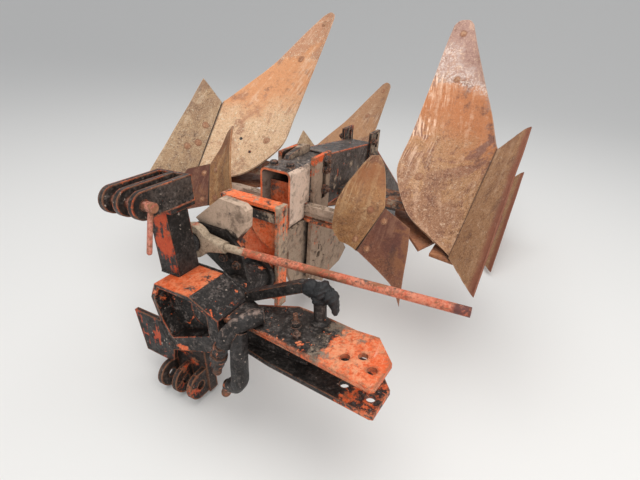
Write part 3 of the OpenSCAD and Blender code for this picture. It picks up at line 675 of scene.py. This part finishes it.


# Sides, floor and roof of the rail's mouth in metres, whose walls get painted shade
RAIL_MOUTH = (-0.0525, 0.0525, 0.458, 0.6505)
M = {
    "clevis": coat("clevis_paint", g=0.4, edge=0.85, fleck=0.35, grime2=(0.1, 0.075, 0.062),
                   eradius=0.009, chip=-0.2, dust_and_sheen=0.35, w=1),
    # The post's orange is a darker copy of the paint: painted shade for the shade the post stands in.
    "post": coat("post_shaded_paint", g=0.36, gdir=(FRONT, -0.34), gs=0.9, edge=0.35,
                 base=(0.5, 0.05, 0.008), base2=(0.6, 0.09, 0.02), chip=-0.25, drips=0.45, dust_and_sheen=0.2,
                 veil=0.6, scuff=0.1, w=2),
    "housing": coat("housing_paint", g=0.42, fold=(HEAD_Z, 0.985, 0.996, -0.68), edge=0.7, fleck=0.62,
                    gs=1.2, gpos=(HEAD_X, -0.07, 0.03, 0.22), chip=-0.25, veil=0.3, dust_and_sheen=0.8, size=0.02,
                    eradius=0.008, w=3),
    "foot": coat("foot_paint", g=0.13, edge=0.7, base=(0.56, 0.075, 0.02), base2=(0.5, 0.16, 0.08),
                 chip=-0.02, gs=1.5, eradius=0.009, veil=0.5, grime2=(0.07, 0.045, 0.035), dust_and_sheen=0.3, w=4),
    "gusset": coat("gusset_paint", g=0.2, edge=0.6, fleck=0.5, gs=1.3, chip=-0.1, eradius=0.009, drips=0.7,
                   base=(0.46, 0.052, 0.012), base2=(0.54, 0.09, 0.026), grime2=(0.03, 0.02, 0.017),
                   dust_and_sheen=0.1, veil=0.7, w=5),
    "mast_up": coat("mast_paint", g=0.44, gpos=(HEAD_X, 0.37, 0.47, -0.66), gdir=(FRONT, -0.3),
                    fleck=0.62, edge=0.8, eradius=0.018, base2=(0.8, 0.33, 0.17), m=-0.3, size=0.075,
                    mpos=[(HEAD_X, 0.32, 0.38, 0.28), (HEAD_X, 0.42, 0.47, -0.16)], mud=(0.2, 0.15, 0.11),
                    mud2=(0.36, 0.28, 0.21), gs=1.5, chip=-0.3, dust_and_sheen=0.6, veil=0.4, scuff=0.6, w=6),
    "mast_low": coat("mast_low_paint", g=0.6, gpos=(HEAD_X, 0.43, 0.52, -0.62), edge=0.65, gs=1.5,
                     fleck=0.4, chip=-0.1, dust_and_sheen=0.3, w=7),
    "black": coat("black_grease", g=0.52, edge=0.45, fleck=0.6, w=8),
    # The arm's grey-pink coat, with less grease on faces turned up, is partly painted sheen for the glossy
    # highlights on its upper side.
    "arm": coat("arm_grease_and_sheen", base=(0.2, 0.14, 0.115), base2=(0.34, 0.255, 0.21), g=0.33,
                gdir=((0, -0.3, 1), -0.3), edge=0.3, fleck=0.25, gs=1.3, grime2=(0.05, 0.042, 0.04),
                dust_and_sheen=0.35, chip=-0.2, veil=0.7, scuff=0.2, w=34),
    "link": coat("link_paint", g=0.26, gs=2.2, edge=0.3, chip=-0.1, dust_and_sheen=0.2, base=(0.5, 0.07, 0.02), w=9),
    "bracket": coat("bracket_grime", g=0.6, base=(0.4, 0.3, 0.22), edge=0.35, m=-0.32, w=10),
    "block": coat("block_soil", g=0.46, base=(0.6, 0.44, 0.33), base2=(0.5, 0.35, 0.26),
                  grime2=(0.1, 0.078, 0.064), gdir=((0.2, 0, 1), -0.3), gpos=(HEAD_Z, 0.43, 0.5, -0.34),
                  m=-0.08, gs=0.8, gwide=0.1, mdir=((0.2, 0, 1), 0.22), mpos=(HEAD_Z, 0.46, 0.53, 0.3),
                  mud=(0.44, 0.31, 0.22), mud2=(0.72, 0.53, 0.4), edge=0.1, dust_and_sheen=0.8, w=11),
    # The front plate's orange is a brighter copy of the paint: painted light that makes up for the shadow
    # it lies in.
    "front": coat("front_lit_paint", g=-0.16, m=-0.36, mpos=(RIGHT, 0.05, 0.066, 0.42), mdir=(UP, 0.2),
                  edge=0.1, base=(0.9, 0.14, 0.032), base2=(0.92, 0.28, 0.12), chip=-0.2, drips=0.5,
                  veil=0.4, gs=1.5, w=12),
    "pad": coat("pad_grime", g=0.28, m=-0.02, base=(0.42, 0.16, 0.08), edge=0.2, w=30),
    "rail": coat("rail_paint", g=-0.16, gdir=(UP, 0.5), m=-0.31, mdir=(RIGHT, 0.72), edge=0.62,
                 grime2=(0.22, 0.175, 0.15), chip=-0.2, drips=0.25, mud=(0.58, 0.4, 0.29),
                 mud2=(0.84, 0.66, 0.54), eradius=0.008, dust_and_sheen=1.0, shade_box=RAIL_MOUTH, w=13),
    "slotted": coat("slotted_soil", g=-0.02, m=0.2, mpos=(UP, 0.645, 0.67, -0.5),
                    edge=0.2, w=14, chip=0.0, drips=0.18, mud=(0.27, 0.18, 0.12), mud2=(0.54, 0.4, 0.3)),
    "stub": coat("stub_soil", g=-0.1, m=-0.3, mpos=(UP, 0.468, 0.48, 0.62), mdir=(UP, 0.2), w=15,
                 chip=-0.1, mud=(0.32, 0.22, 0.15), mud2=(0.72, 0.55, 0.43)),
    "beam": coat("beam_grime", g=0.34, gdir=(UP, 0.1), edge=0.75, grime=(0.04, 0.03, 0.026),
                 grime2=(0.17, 0.132, 0.112), fleck=0.45, m=-0.22, drips=0.25, eradius=0.012, dust_and_sheen=1.0,
                 gs=0.8, w=16),
    "clamp": coat("clamp_paint", g=0.16, m=-0.02, mdir=(REAR, 0.3), edge=0.5, chip=-0.05, w=17),
    "lower": coat("lower_paint", m=0.14, base=(0.45, 0.1, 0.045), chip=0.0, drips=0.2,
                  mud=(0.3, 0.21, 0.15), w=18),
    "leg": coat("leg_rust", base=(0.28, 0.11, 0.055), base2=(0.38, 0.2, 0.12), m=-0.12, chip=0.1,
                w=19),
    "shaft": coat("shaft_grease", base=(0.25, 0.2, 0.17), base2=(0.3, 0.25, 0.2), g=0.5, edge=0.1, w=20),
    "pin": coat("pin_paint", base=(0.5, 0.13, 0.08), base2=(0.66, 0.3, 0.22), g=-0.22, chip=-0.08,
                edge=0.1, gs=2, w=21),
    "lever": coat("lever_paint", base=(0.56, 0.11, 0.05), base2=(0.68, 0.25, 0.15), g=-0.22, chip=-0.06,
                  gs=3.4, m=-0.58, mpos=[(RIGHT, 0.1, 0.02, 0.78)], mud=(0.34, 0.25, 0.165),
                  mud2=(0.66, 0.52, 0.38), band=(RIGHT, 0.655, 0.672, (0.14, 0.05, 0.042)), edge=0.1,
                  veil=0.6, scuff=0.3, ms=2.0, w=22),
    "bolt": coat("bolt_rust", base=RUST2, base2=(0.4, 0.24, 0.16), m=-0.35, chip=0.2, gs=3, w=23),
    "bolt_black": coat("bolt_grease", base=(0.34, 0.13, 0.07), base2=(0.42, 0.22, 0.14), g=0.12, edge=0.4,
                       gs=3, m=-0.2, w=24),
    "nut": coat("nut_paint", base=(0.62, 0.16, 0.07), base2=(0.6, 0.34, 0.24), g=0.08, chip=0.05, gs=3.5,
                edge=0.4, w=25),
    "frog": coat("frog_rust", base=(0.3, 0.1, 0.04), base2=(0.44, 0.19, 0.085), g=-0.22, chip=0.0,
                 edge=0.3, veil=0.7, w=60),
    "ring": coat("ring_rust", base=(0.3, 0.12, 0.055), base2=(0.5, 0.28, 0.16), g=-0.3, chip=-0.1, gs=5,
                 veil=0.5, w=58),
    "weld_dark": coat("weld_grime", g=0.42, edge=0.1, gs=2.5, w=26),
    "weld_paint": coat("weld_paint", g=0.1, m=-0.1, edge=0.1, gs=2.5, w=27),
    "soil": coat("soil_lumps", g=-0.6, m=0.8, w=28, edge=0.0),
}
M["board_r"] = plate("board_rust_r", (0.47, 0.245, 0.115), (0.5, 0.185, 0.07), (0.4, 0.235, 0.19),
                     (0.25, 0.11, 0.075), (0.17, 0.06, 0.032), (0.84, 0.57, 0.4), 0.85, specks=0.75,
                     contrast=1.3, frosty=0.72, w=40)
M["board_l"] = plate("board_rust_l", (0.68, 0.45, 0.27), (0.64, 0.29, 0.13), (0.5, 0.24, 0.13),
                     (0.42, 0.19, 0.1), (0.3, 0.125, 0.06), (0.92, 0.72, 0.54), 0.3, specks=0.75,
                     pits=0.4, contrast=1.15, w=44)
M["board_rear"] = plate("board_rust_rear", (0.42, 0.24, 0.125), (0.44, 0.23, 0.115), (0.4, 0.21, 0.11),
                        (0.26, 0.13, 0.08), (0.17, 0.072, 0.042), (0.72, 0.52, 0.36), 0.5, specks=0.6, w=46)
M["share"] = plate("share_rust", (0.41, 0.215, 0.105), (0.4, 0.2, 0.1), (0.34, 0.16, 0.08),
                   (0.26, 0.12, 0.065), (0.16, 0.068, 0.04), (0.74, 0.51, 0.35), 0.2, specks=0.6,
                   pits=0.35, w=48, zones=(0.9, 1.2, 1.6), border=(0.22, 0.064, 0.036), is_share=True)
M["share_l"] = plate("share_rust_l", (0.41, 0.26, 0.145), (0.4, 0.24, 0.13), (0.34, 0.18, 0.1),
                     (0.26, 0.14, 0.08), (0.15, 0.08, 0.05), (0.84, 0.66, 0.48), 0.2, specks=0.6, pits=0.8,
                     contrast=1.2, w=64, zones=(0.9, 1.2, 1.6), is_share=True)
M["skim"] = plate("skimmer_rust", (0.36, 0.17, 0.065), (0.32, 0.125, 0.05), (0.24, 0.1, 0.055),
                  (0.2, 0.085, 0.042), (0.12, 0.048, 0.028), (0.66, 0.46, 0.26), 0.3, specks=0.5, w=52,
                  zones=(0.4, 0.7, 0.86))
M["skim_share"] = plate("skimmer_share_rust", (0.18, 0.06, 0.03), (0.125, 0.04, 0.024),
                        (0.22, 0.1, 0.045), (0.25, 0.095, 0.034), (0.05, 0.018, 0.015), (0.46, 0.24, 0.14),
                        0.3, specks=0.35, pits=0.2, w=56, zones=(0.2, 0.5, 1.5), is_share=True, gloss=0.1)

n = Net("boot_rubber")
big, fine = n.noise(30, 6, 0.7), n.noise(150, 5, 0.7, w=3)
n.col = n.mix(n.step(n.blend(big, 0.6, fine, 0.4), 0.5, 0.95), (0.01, 0.01, 0.011), (0.045, 0.043, 0.044))
M["boot"] = n.done(n.step(big, 0.1, 0.9, 0.38, 0.7), n.add(big, n.mul(fine, 0.4)), 0.0022)

# The CAD nodes that have each finish
CAD = {"housing": "housing", "black": "bearing_tube mast_web stop_arm latch_post", "post": "hitch_post",
       "clevis": "upper_clevis", "foot": "lower_clevis", "gusset": "clevis_gusset",
       "mast_up": "mast_upper_plate", "mast_low": "mast_lower_plate", "link": "latch_link",
       "bracket": "lever_bracket", "block": "lock_block", "lever": "turnover_lever", "pin": "hitch_pin",
       "shaft": "turnover_shaft", "front": "front_plate", "rail": "upper_rail", "beam": "main_beam",
       "lower": "lower_rail", "slotted": "slotted_posts", "clamp": "rail_clamp",
       "stub": "skimmer_stalk_r skimmer_stalk_l", "leg": "leg_fr leg_fl leg_rr leg_rl",
       "share": "landside_fr landside_fl landside_rr landside_rl"}
for finish, nodes in CAD.items():
    for node in nodes.split():
        mats = frame["nodes"][node].data.materials
        for s in range(max(1, len(mats))):
            if len(mats) <= s:
                mats.append(M[finish])
            else:
                mats[s] = M[finish]

# Boards, shares, skimmers
# Name, side and row of each body, then bolts and holes by (u, v) on the plates
BODIES = [("fr", 1, 0), ("fl", -1, 0), ("rr", 1, 1), ("rl", -1, 1)]
BOARD_BOLTS = {"r": [(0.917, 0.533), (0.717, 0.583), (0.267, 0.733)],
               "l": [(0.733, 0.533), (0.283, 0.75), (0.92, 0.53)]}
BOARD_HOLES = {"r": [], "l": [(0.217, 0.667), (0.258, 0.4)]}
SHARE_BOLTS = {"r": [], "l": [(0.408, 0.533), (0.467, 0.767), (0.667, 0.767)]}
SHARE_NUTS = ((0.26, 0.77), (0.467, 0.77), (0.667, 0.77))
SKIM_BOLTS = [("b", 0.092, 0.233), ("b", 0.392, 0.267), ("s", 0.8, 0.817), ("s", 0.167, 0.883)]
BOARD_BOLT_D, SHARE_BOLT_D, SKIM_BOLT_D = 30, 28, 21


def on_surface(fn, u, v, side, place, lift):
    """A point lifted off a plate towards its soil face, and the face's direction there."""
    d = 0.01
    p = A(*fn(u, v))
    du = A(*fn(min(u + d, 1), v)) - A(*fn(max(u - d, 0), v))
    dv = A(*fn(u, min(v + d, 1))) - A(*fn(u, max(v - d, 0)))
    nn = np.cross(du, dv)
    nn /= norm(nn)
    p = p + nn * lift
    q = place((side * p[0], p[1], p[2]))
    return world(q), Vector((side * nn[0], nn[1], nn[2]))


def plough_bolt(grp, at, axis, d):
    """A countersunk plough bolt: a shallow worn dome in its ring."""
    r = d / 2
    grp.lathe([(r * 1.16, -1.5), (r * 1.16, 0.2), (r * 1.08, 0.9), (r * 0.99, 0.3), (r * 0.93, -0.6),
               (r * 0.86, 0.8), (r * 0.6, 1.5), (r * 0.25, 1.7)], at, axis, 26)


for k, side, row in BODIES:
    place, key = place_body(row), k[1]
    fn = worn_board(20 + 7 * row + side)
    finish = "board_rear" if row else "board_" + key
    sheet("mouldboard_plate_" + k, "mouldboard_" + k, fn, 64, 22, BOARD_T, finish, place, side)
    sfn = worn_share(60 + 5 * row + side)
    finish = "share" if side > 0 else "share_l"
    sheet("share_plate_" + k, "share_" + k, sfn, 40, 14, share_thick, finish, place, side, bevel=1.4)
    grp = Group()
    for u, v in BOARD_BOLTS[key]:
        plough_bolt(grp, *on_surface(fn, u, v, side, place, BOARD_T), BOARD_BOLT_D)
    for u, v in SHARE_BOLTS[key]:
        plough_bolt(grp, *on_surface(sfn, u, v, side, place, SHARE_T), SHARE_BOLT_D)
    grp.make("board_bolts_" + k, "ring", "frame", "rusty_steel")
    # Black discs on the left boards where they have holes and no bolts.
    if BOARD_HOLES[key]:
        grp = Group()
        for u, v in BOARD_HOLES[key]:
            at, ax = on_surface(fn, u, v, side, place, BOARD_T)
            grp.lathe([(7.5, -2), (7.5, 0.25), (6, 0.35), (3, 0.3)], at, ax, 22)
        grp.make("dark_hole_discs_" + k, "black", "frame", "rusty_steel")
    nuts = Group()
    for u, v in BOARD_BOLTS[key]:
        at, ax = on_surface(fn, u, v, side, place, 0)
        nuts.bolt(at, -ax, 24, 12, washer=32, stud=(14, 7))
    for u, v in SHARE_NUTS:
        at, ax = on_surface(sfn, u, v, side, place, 0)
        nuts.bolt(at, -ax, 22, 10, stud=(12, 6))
    nuts.make("back_nuts_" + k, "bolt", "frame", "rusty_steel", bevel=0.0006)

# A strap behind the joint of share and board. Each section has six corners, named by the point that they
# start from and how far they lie behind it.
along_joint = (JB - JA) / norm(JB - JA)
for k, side, row in BODIES:
    place = place_body(row)
    verts = []
    for q in (0.02, 0.35, 0.68, 0.98):
        on_board, on_share = A(*board_point(3 * q / 7, 0.0572)), worn_share(60)(q, 0.84)
        joint = JA * (1 - q) + JB * q
        back = np.cross(on_board - joint, along_joint)
        back /= norm(back)
        for start, lifts in ((on_board, (1, 9)), (joint, (12,)), (on_share, (9, 1)), (joint, (4,))):
            for x, y, z in (start + back * lift for lift in lifts):
                verts.append(world(place((side * x, y, z))))
    piece("joint_strap_" + k, verts, turned(loop_faces(4, 6), side), "frog", "frame", "rusty_steel",
          bevel=0.0012)

# The frog's flat plate: its outline in X and Y, and its lower and upper face above the landside plane
FROG = [(262, 296), (292, 204), (380, 75), (464, -40), (503, 71), (505, -49), (604, -64), (594, 26),
        (592, 300), (420, 330)]
FROG_Z = (3.5, 15.5)
for k, side, row in BODIES:
    place = place_body(row)
    verts = [world(place((side * x, y, z))) for z in FROG_Z for x, y in FROG]
    faces = turned(loop_faces(2, len(FROG)), side)
    piece("frog_plate_" + k, verts, faces, "frog", "frame", "rusty_steel", bevel=0.0012)


def stay_put(p):
    return p


for k, side in (("r", 1), ("l", -1)):
    sheet("skimmer_plate_" + k, "skimmer_board_" + k, skim_board, 40, 14, SKIM_T, "skim", stay_put, side,
          bevel=1.8)
    sheet("skimmer_point_" + k, "skimmer_share_" + k, skim_share, 24, 18, skim_thick, "skim_share",
          stay_put, side, bevel=1.2)
    grp = Group()
    for kind, u, v in SKIM_BOLTS:
        surface = skim_board if kind == "b" else skim_share
        plough_bolt(grp, *on_surface(surface, u, v, side, stay_put, SKIM_T), SKIM_BOLT_D)
    grp.make("skimmer_bolts_" + k, "ring", "frame", "rusty_steel")

# Forged stop arm
# The arm and its screws, in the headstock's frame. Z is the height of the arm's middle.
WALL_TOP = 30
Z = WALL_TOP + 22.2
ARM_Y = -678
# Stations, radii, seed, upward side and squareness of its two branches
BRANCHES = [([(206, -592, Z - 2), (190, -612, Z), (172, -640, Z - 2), (154, -661, Z - 22),
              (140, -673, Z - 46), (132, -677, Z - 66)], [20, 24, 24.5, 24.5, 24, 22], 5, (0, 0.4, 0.9),
             3.0), ([(174, -656, Z - 24), (178, -668, Z - 60), (178, -676, Z - 122), (175, -677, Z - 172),
                     (160, -676, Z - 200), (132, -674, Z - 213)], [19, 21, 22, 22, 21, 18], 6, RIGHT, 3.2)]
arm = Group()
for stations, radii, seed, up, square in BRANCHES:
    path, radii = smooth_path(stations, radii)
    arm.tube([head(p) for p in path], radii, 28, 0.02, seed, head_dir(up), square)
arm.make("stop_arm_forging", "arm", "headstock", "greasy_paint", "stop_arm", angle=60)

# From, to, diameter and sides: nut, washer, nut and thread of the upper screw, then the lower screw
SCREWS = [((122, ARM_Y, Z - 72), (110, ARM_Y, Z - 112), 44, 6),
          ((110, ARM_Y, Z - 108), (104, ARM_Y, Z - 126), 50, 26),
          ((107, ARM_Y, Z - 122), (97, ARM_Y, Z - 158), 38, 6),
          ((98, ARM_Y, Z - 156), (91, ARM_Y, Z - 184), 27, 20),
          ((130, -674, Z - 210), (124, -674, Z - 226), 36, 24),
          ((125, -674, Z - 224), (108, -674, Z - 260), 29, 20)]
screws = Group()
for start, end, d, sides in SCREWS:
    a, b = head(start), head(end)
    ln = (b - a).length * 1000
    prof = [(d / 2 - 1, 0), (d / 2, 1.5)]
    if sides == 6:
        prof += [(d / 2, ln - 4), (d / 2 - 3, ln)]
    elif d > 34:
        prof += [(d / 2, ln - 1.5), (d / 2 - 1.5, ln)]
    else:
        t = 3.0
        while t < ln - 4:
            prof += [(d / 2, t), (d / 2 - 1.1, t + 1.5)]
            t += 3.0
        prof += [(d / 2 - 2.2, ln)]
    screws.lathe(prof, a, b - a, sides)
screws.make("stop_screw", "nut", "headstock", "greasy_paint", bevel=0.0008)

# Latch with its crumpled boot
head_up = head_dir(UP)
latch = Group()
latch.lathe([(26, -1), (27, 1), (26, 5), (20.5, 8), (18, 11), (18, 70), (19, 74), (19, 88)],
            head((346, -520, WALL_TOP)), head_up, 28)
latch.make("latch_stem", "black", "headstock", "greasy_paint", bevel=0.0006)


def lump(size, seed, folds=4, amp=0.1):
    """A crumpled round solid about its own middle."""
    g = random.Random(seed)
    ph = [g.uniform(0, 6.28) for _ in range(12)]
    nu, nv = 44, 28
    verts, faces = [], []
    for j in range(nv + 1):
        th = pi * j / nv
        for i in range(nu):
            a = 2 * pi * i / nu
            d = Vector((sin(th) * cos(a), sin(th) * sin(a), cos(th)))
            f = 1 + amp * (sin(folds * d.x + 1.6 * sin(2 * d.z + ph[0]) + ph[1])
                           + 0.7 * abs(sin(4 * d.y + 2.5 * d.z + ph[2]))
                           + 0.4 * sin(11 * d.z - 6 * d.x + ph[3])
                           + 0.25 * sin(19 * d.x + 13 * d.y + ph[4]) - 1.2)
            verts.append(Vector((d.x * size[0], d.y * size[1], d.z * size[2])) * f)
    for j in range(nv):
        for i in range(nu):
            k = (i + 1) % nu
            faces.append([j * nu + i, j * nu + k, (j + 1) * nu + k, (j + 1) * nu + i][::-1])
    return verts, faces


LOBES = [((326, -520, 134), (32, 27, 25), 3), ((352, -519, 135), (33, 28, 27), 4),
         ((378, -518, 120), (21, 24, 30), 5), ((390, -517, 92), (12, 18, 27), 8),
         ((346, -520, 108), (24, 24, 22), 6)]
boot = Group()
for (x, y, z), size, seed in LOBES:
    v, f = lump(size, seed)
    boot.add([head((x + p.x, y + p.y, z + p.z)) for p in v], f)
boot.make("latch_boot", "boot", "headstock", "greasy_paint", "latch_post", angle=75)

# Nuts, bolts and welds
RAIL_X, RAIL_TOP, SIDE_PLATE_X, CLAMP_X = 60, 657, 76, 74
bolts = Group()
for x, y in ((-34, -196), (26, -188)):
    bolts.bolt(world((x, y, RAIL_TOP)), UP, 24, 13, washer=34)
for side in (-1, 1):
    for z in (655, 622, 545):
        bolts.bolt(world((side * SIDE_PLATE_X, -32, z)), (side, 0, 0), 30, 14, washer=38, stud=(18, 8))
    for y, z in ((432, 560), (432, 628)):
        bolts.bolt(world((side * CLAMP_X, y, z)), (side, 0, 0), 24, 12, washer=32, stud=(14, 6))
bolts.make("rail_bolts", "bolt_black", "frame", "muddy_steel", bevel=0.0008)

# A cap on the square bar behind the front plate's flange, a little larger than the bar
PAD_AT, PAD_HALF = (2, -307.3, 526), (59.4, 17.4, 17.4)
pad = Group()
pad.add([world([c + sign * h for c, sign, h in zip(PAD_AT, (sx, sy, sz), PAD_HALF)])
         for sx in (-1, 1) for sy in (-1, 1) for sz in (-1, 1)],
        [[0, 1, 3, 2], [4, 6, 7, 5], [0, 4, 5, 1], [2, 3, 7, 6], [0, 2, 6, 4], [1, 5, 7, 3]])
pad.make("stop_pad", "pad", "frame", "muddy_steel", bevel=0.0025, segments=3)

# Dried soil: two corners of the box it lies in, how many lumps, their size
SOIL = [((62, -230, 456), (62, 10, 456), 26, 7), ((66, -140, 516), (185, -118, 516), 30, 5),
        ((40, -238, 452), (60, -120, 452), 22, 9), ((-50, -235, 658), (55, 10, 658), 16, 4),
        ((78, -100, 190), (78, 10, 480), 22, 5), ((64, -322, 470), (64, -296, 540), 10, 4),
        ((-66, -140, 516), (-185, -118, 516), 30, 5)]
soil = Group()
for a, b, count, size in SOIL:
    for _ in range(count):
        q = [rng.uniform(min(i, j), max(i, j)) for i, j in zip(a, b)]
        k = size * rng.uniform(0.35, 1.0)
        size3 = (k * rng.uniform(0.8, 1.5), k * rng.uniform(0.8, 1.5), k * 0.55)
        v, f = lump(size3, rng.randrange(999), 3, 0.2)
        soil.add([world((q[0] + p.x, q[1] + p.y, q[2] + p.z)) for p in v], f)
soil.make("dried_soil", "soil", "frame", "muddy_steel", angle=75)

# Weld beads: points and radius. The seeds run on from 3, 8 and 11.
SIDE_BEADS = [([(RAIL_X, -108, z) for z in (470, 510, 560, 610, 640)], 4.5),
              ([(45, y, 452) for y in (-238, -160, -112)], 5),
              *(([(RAIL_X, y, z) for y in (-145, -128, -112)], 4.5) for z in (488, 516)),
              ([(RAIL_X, 20, z) for z in (470, 520, 570, 620, 655)], 5)]
MIDDLE_BEADS = [([(x, 20, 661) for x in (-50, -20, 20, 50)], 4.5),
                ([(x, -276, 450) for x in (-44, 0, 44)], 5), ([(61, -310, z) for z in (470, 500, 530)], 4)]
HEAD_BEADS = [([(95, y, 31) for y in (-628, -590, -550, -512)], 5),
              ([(95, y, -71) for y in (-612, -570, -512)], 5),
              ([(-140, -500, 88), (-5, -500, 82), (95, -500, 30)], 5),
              *(([(-179, y, 90), (-140, y, 90), (-103, y, 88)], 5) for y in (-572, -586)),
              ([(-150, -626, -148), (-110, -626, -148), (-10, -626, -119)], 5),
              ([(-146, -652, -50), (-128, -652, -100), (-111, -652, -146)], 4.5),
              ([(96, -598, z) for z in (-54, -20, 14)], 4.5),
              *(([(x, -598, z) for x in (97, 200, 300, 346)], 4) for z in (16, -56)),
              ([(x, -520, 311) for x in (-208, -170, -110, -78)], 4.5),
              ([(53 * cos(pi * i / 12), -500, 53 * sin(pi * i / 12)) for i in range(25)], 5)]
welds = Group()
for side in (-1, 1):
    for seed, (points, radius) in enumerate(SIDE_BEADS, 3):
        welds.bead([world((side * x, y, z)) for x, y, z in points], radius, seed)
for seed, (points, radius) in enumerate(MIDDLE_BEADS, 8):
    welds.bead([world(p) for p in points], radius, seed)
welds.make("frame_welds", "weld_paint", "frame", "orange_paint", angle=70)
welds = Group()
for seed, (points, radius) in enumerate(HEAD_BEADS, 11):
    welds.bead([head(p) for p in points], radius, seed)
welds.make("headstock_welds", "weld_dark", "headstock", "greasy_paint", angle=70)

BRACKET_FRONT = -448
bolts = Group()
bolts.bolt(head((296, -566, WALL_TOP)), head_up, 24, 15, washer=32, stud=(14, 22))
bolts.bolt(head((322, -604, WALL_TOP)), head_up, 22, 13, stud=(13, 7))
for x, z in ((-45, 104), (5, 86)):
    bolts.bolt(head((x, BRACKET_FRONT, z)), head_dir(FRONT), 24, 10, washer=32)
bolts.make("headstock_bolts", "bolt_black", "headstock", "greasy_paint", bevel=0.0007)

# Floor, light, camera
FLOOR_X, FLOOR_FRONT, FLOOR_REAR, CURVE = (-34, 26), -9.0, 5.0, 14.0
rows = [(FLOOR_FRONT, 0.0), (FLOOR_REAR, 0.0)]
rows += [(FLOOR_REAR + CURVE * sin(a), CURVE * (1 - cos(a))) for a in
         (radians(3 * i) for i in range(1, 21))]
me = bpy.data.meshes.new("floor")
me.from_pydata([(x, y, z) for y, z in rows for x in FLOOR_X], [],
               [[2 * i, 2 * i + 1, 2 * i + 3, 2 * i + 2] for i in range(len(rows) - 1)])
for p in me.polygons:
    p.use_smooth = True
pale = bpy.data.materials.new("floor_pale")
pale.use_nodes = True
for key, v in (("Base Color", (0.8, 0.79, 0.77, 1)), ("Roughness", 0.9), ("Specular IOR Level", 0.2)):
    pale.node_tree.nodes["Principled BSDF"].inputs[key].default_value = v
me.materials.append(pale)
link(bpy.data.objects.new("floor", me))

studio = bpy.data.worlds.new("studio")
scene.world = studio
studio.use_nodes = True
sky = studio.node_tree.nodes["Background"].inputs
sky["Color"].default_value = (0.95, 0.97, 1.0, 1)
sky["Strength"].default_value = 0.55


def lamp(name, at, look, size, watts, color):
    """A rectangular lamp at a place, turned to look at a point."""
    d = bpy.data.lights.new(name, "AREA")
    d.shape = "RECTANGLE"
    d.size, d.size_y = size
    d.energy = watts
    d.color = color
    o = link(bpy.data.objects.new(name, d))
    o.location = at
    o.rotation_mode = "QUATERNION"
    o.rotation_quaternion = (Vector(look) - Vector(at)).to_track_quat("-Z", "Y")


lamp("top", (0.3, -0.8, 4.2), (0.0, 0.0, 0.3), (4.5, 4.5), 120, (1.0, 0.99, 0.97))
lamp("right", (3.6, -3.4, 2.4), (0.0, -0.3, 0.4), (2.6, 2.2), 75, (1.0, 0.98, 0.95))

# The camera as fitted to the photograph, with its focal length in pixels of a picture 640 wide
FOCAL_PX, PICTURE_W, SENSOR = 417, 640, 36
YAW, PITCH_DOWN, TILT = radians(-27.2), radians(27.8), radians(3.6)
CAMERA_AT = (0.7433, -1.3333 + SHIFT / 1000, 1.1)
ahead = Vector((sin(YAW), cos(YAW), 0))
aside = Vector((cos(YAW), -sin(YAW), 0))
fwd = cos(PITCH_DOWN) * ahead - sin(PITCH_DOWN) * Vector(UP)
over = sin(PITCH_DOWN) * ahead + cos(PITCH_DOWN) * Vector(UP)
right = cos(TILT) * aside + sin(TILT) * over
above = -sin(TILT) * aside + cos(TILT) * over
cam = bpy.data.cameras.new("camera")
cam.sensor_width = SENSOR
cam.lens = FOCAL_PX * SENSOR / PICTURE_W
cam.clip_start = 0.05
cam.clip_end = 100
camera = link(bpy.data.objects.new("camera", cam))
camera.matrix_world = Matrix([(right[i], above[i], -fwd[i], CAMERA_AT[i]) for i in range(3)]
                             + [(0, 0, 0, 1)])
scene.camera = camera
scene.view_settings.view_transform = "Standard"
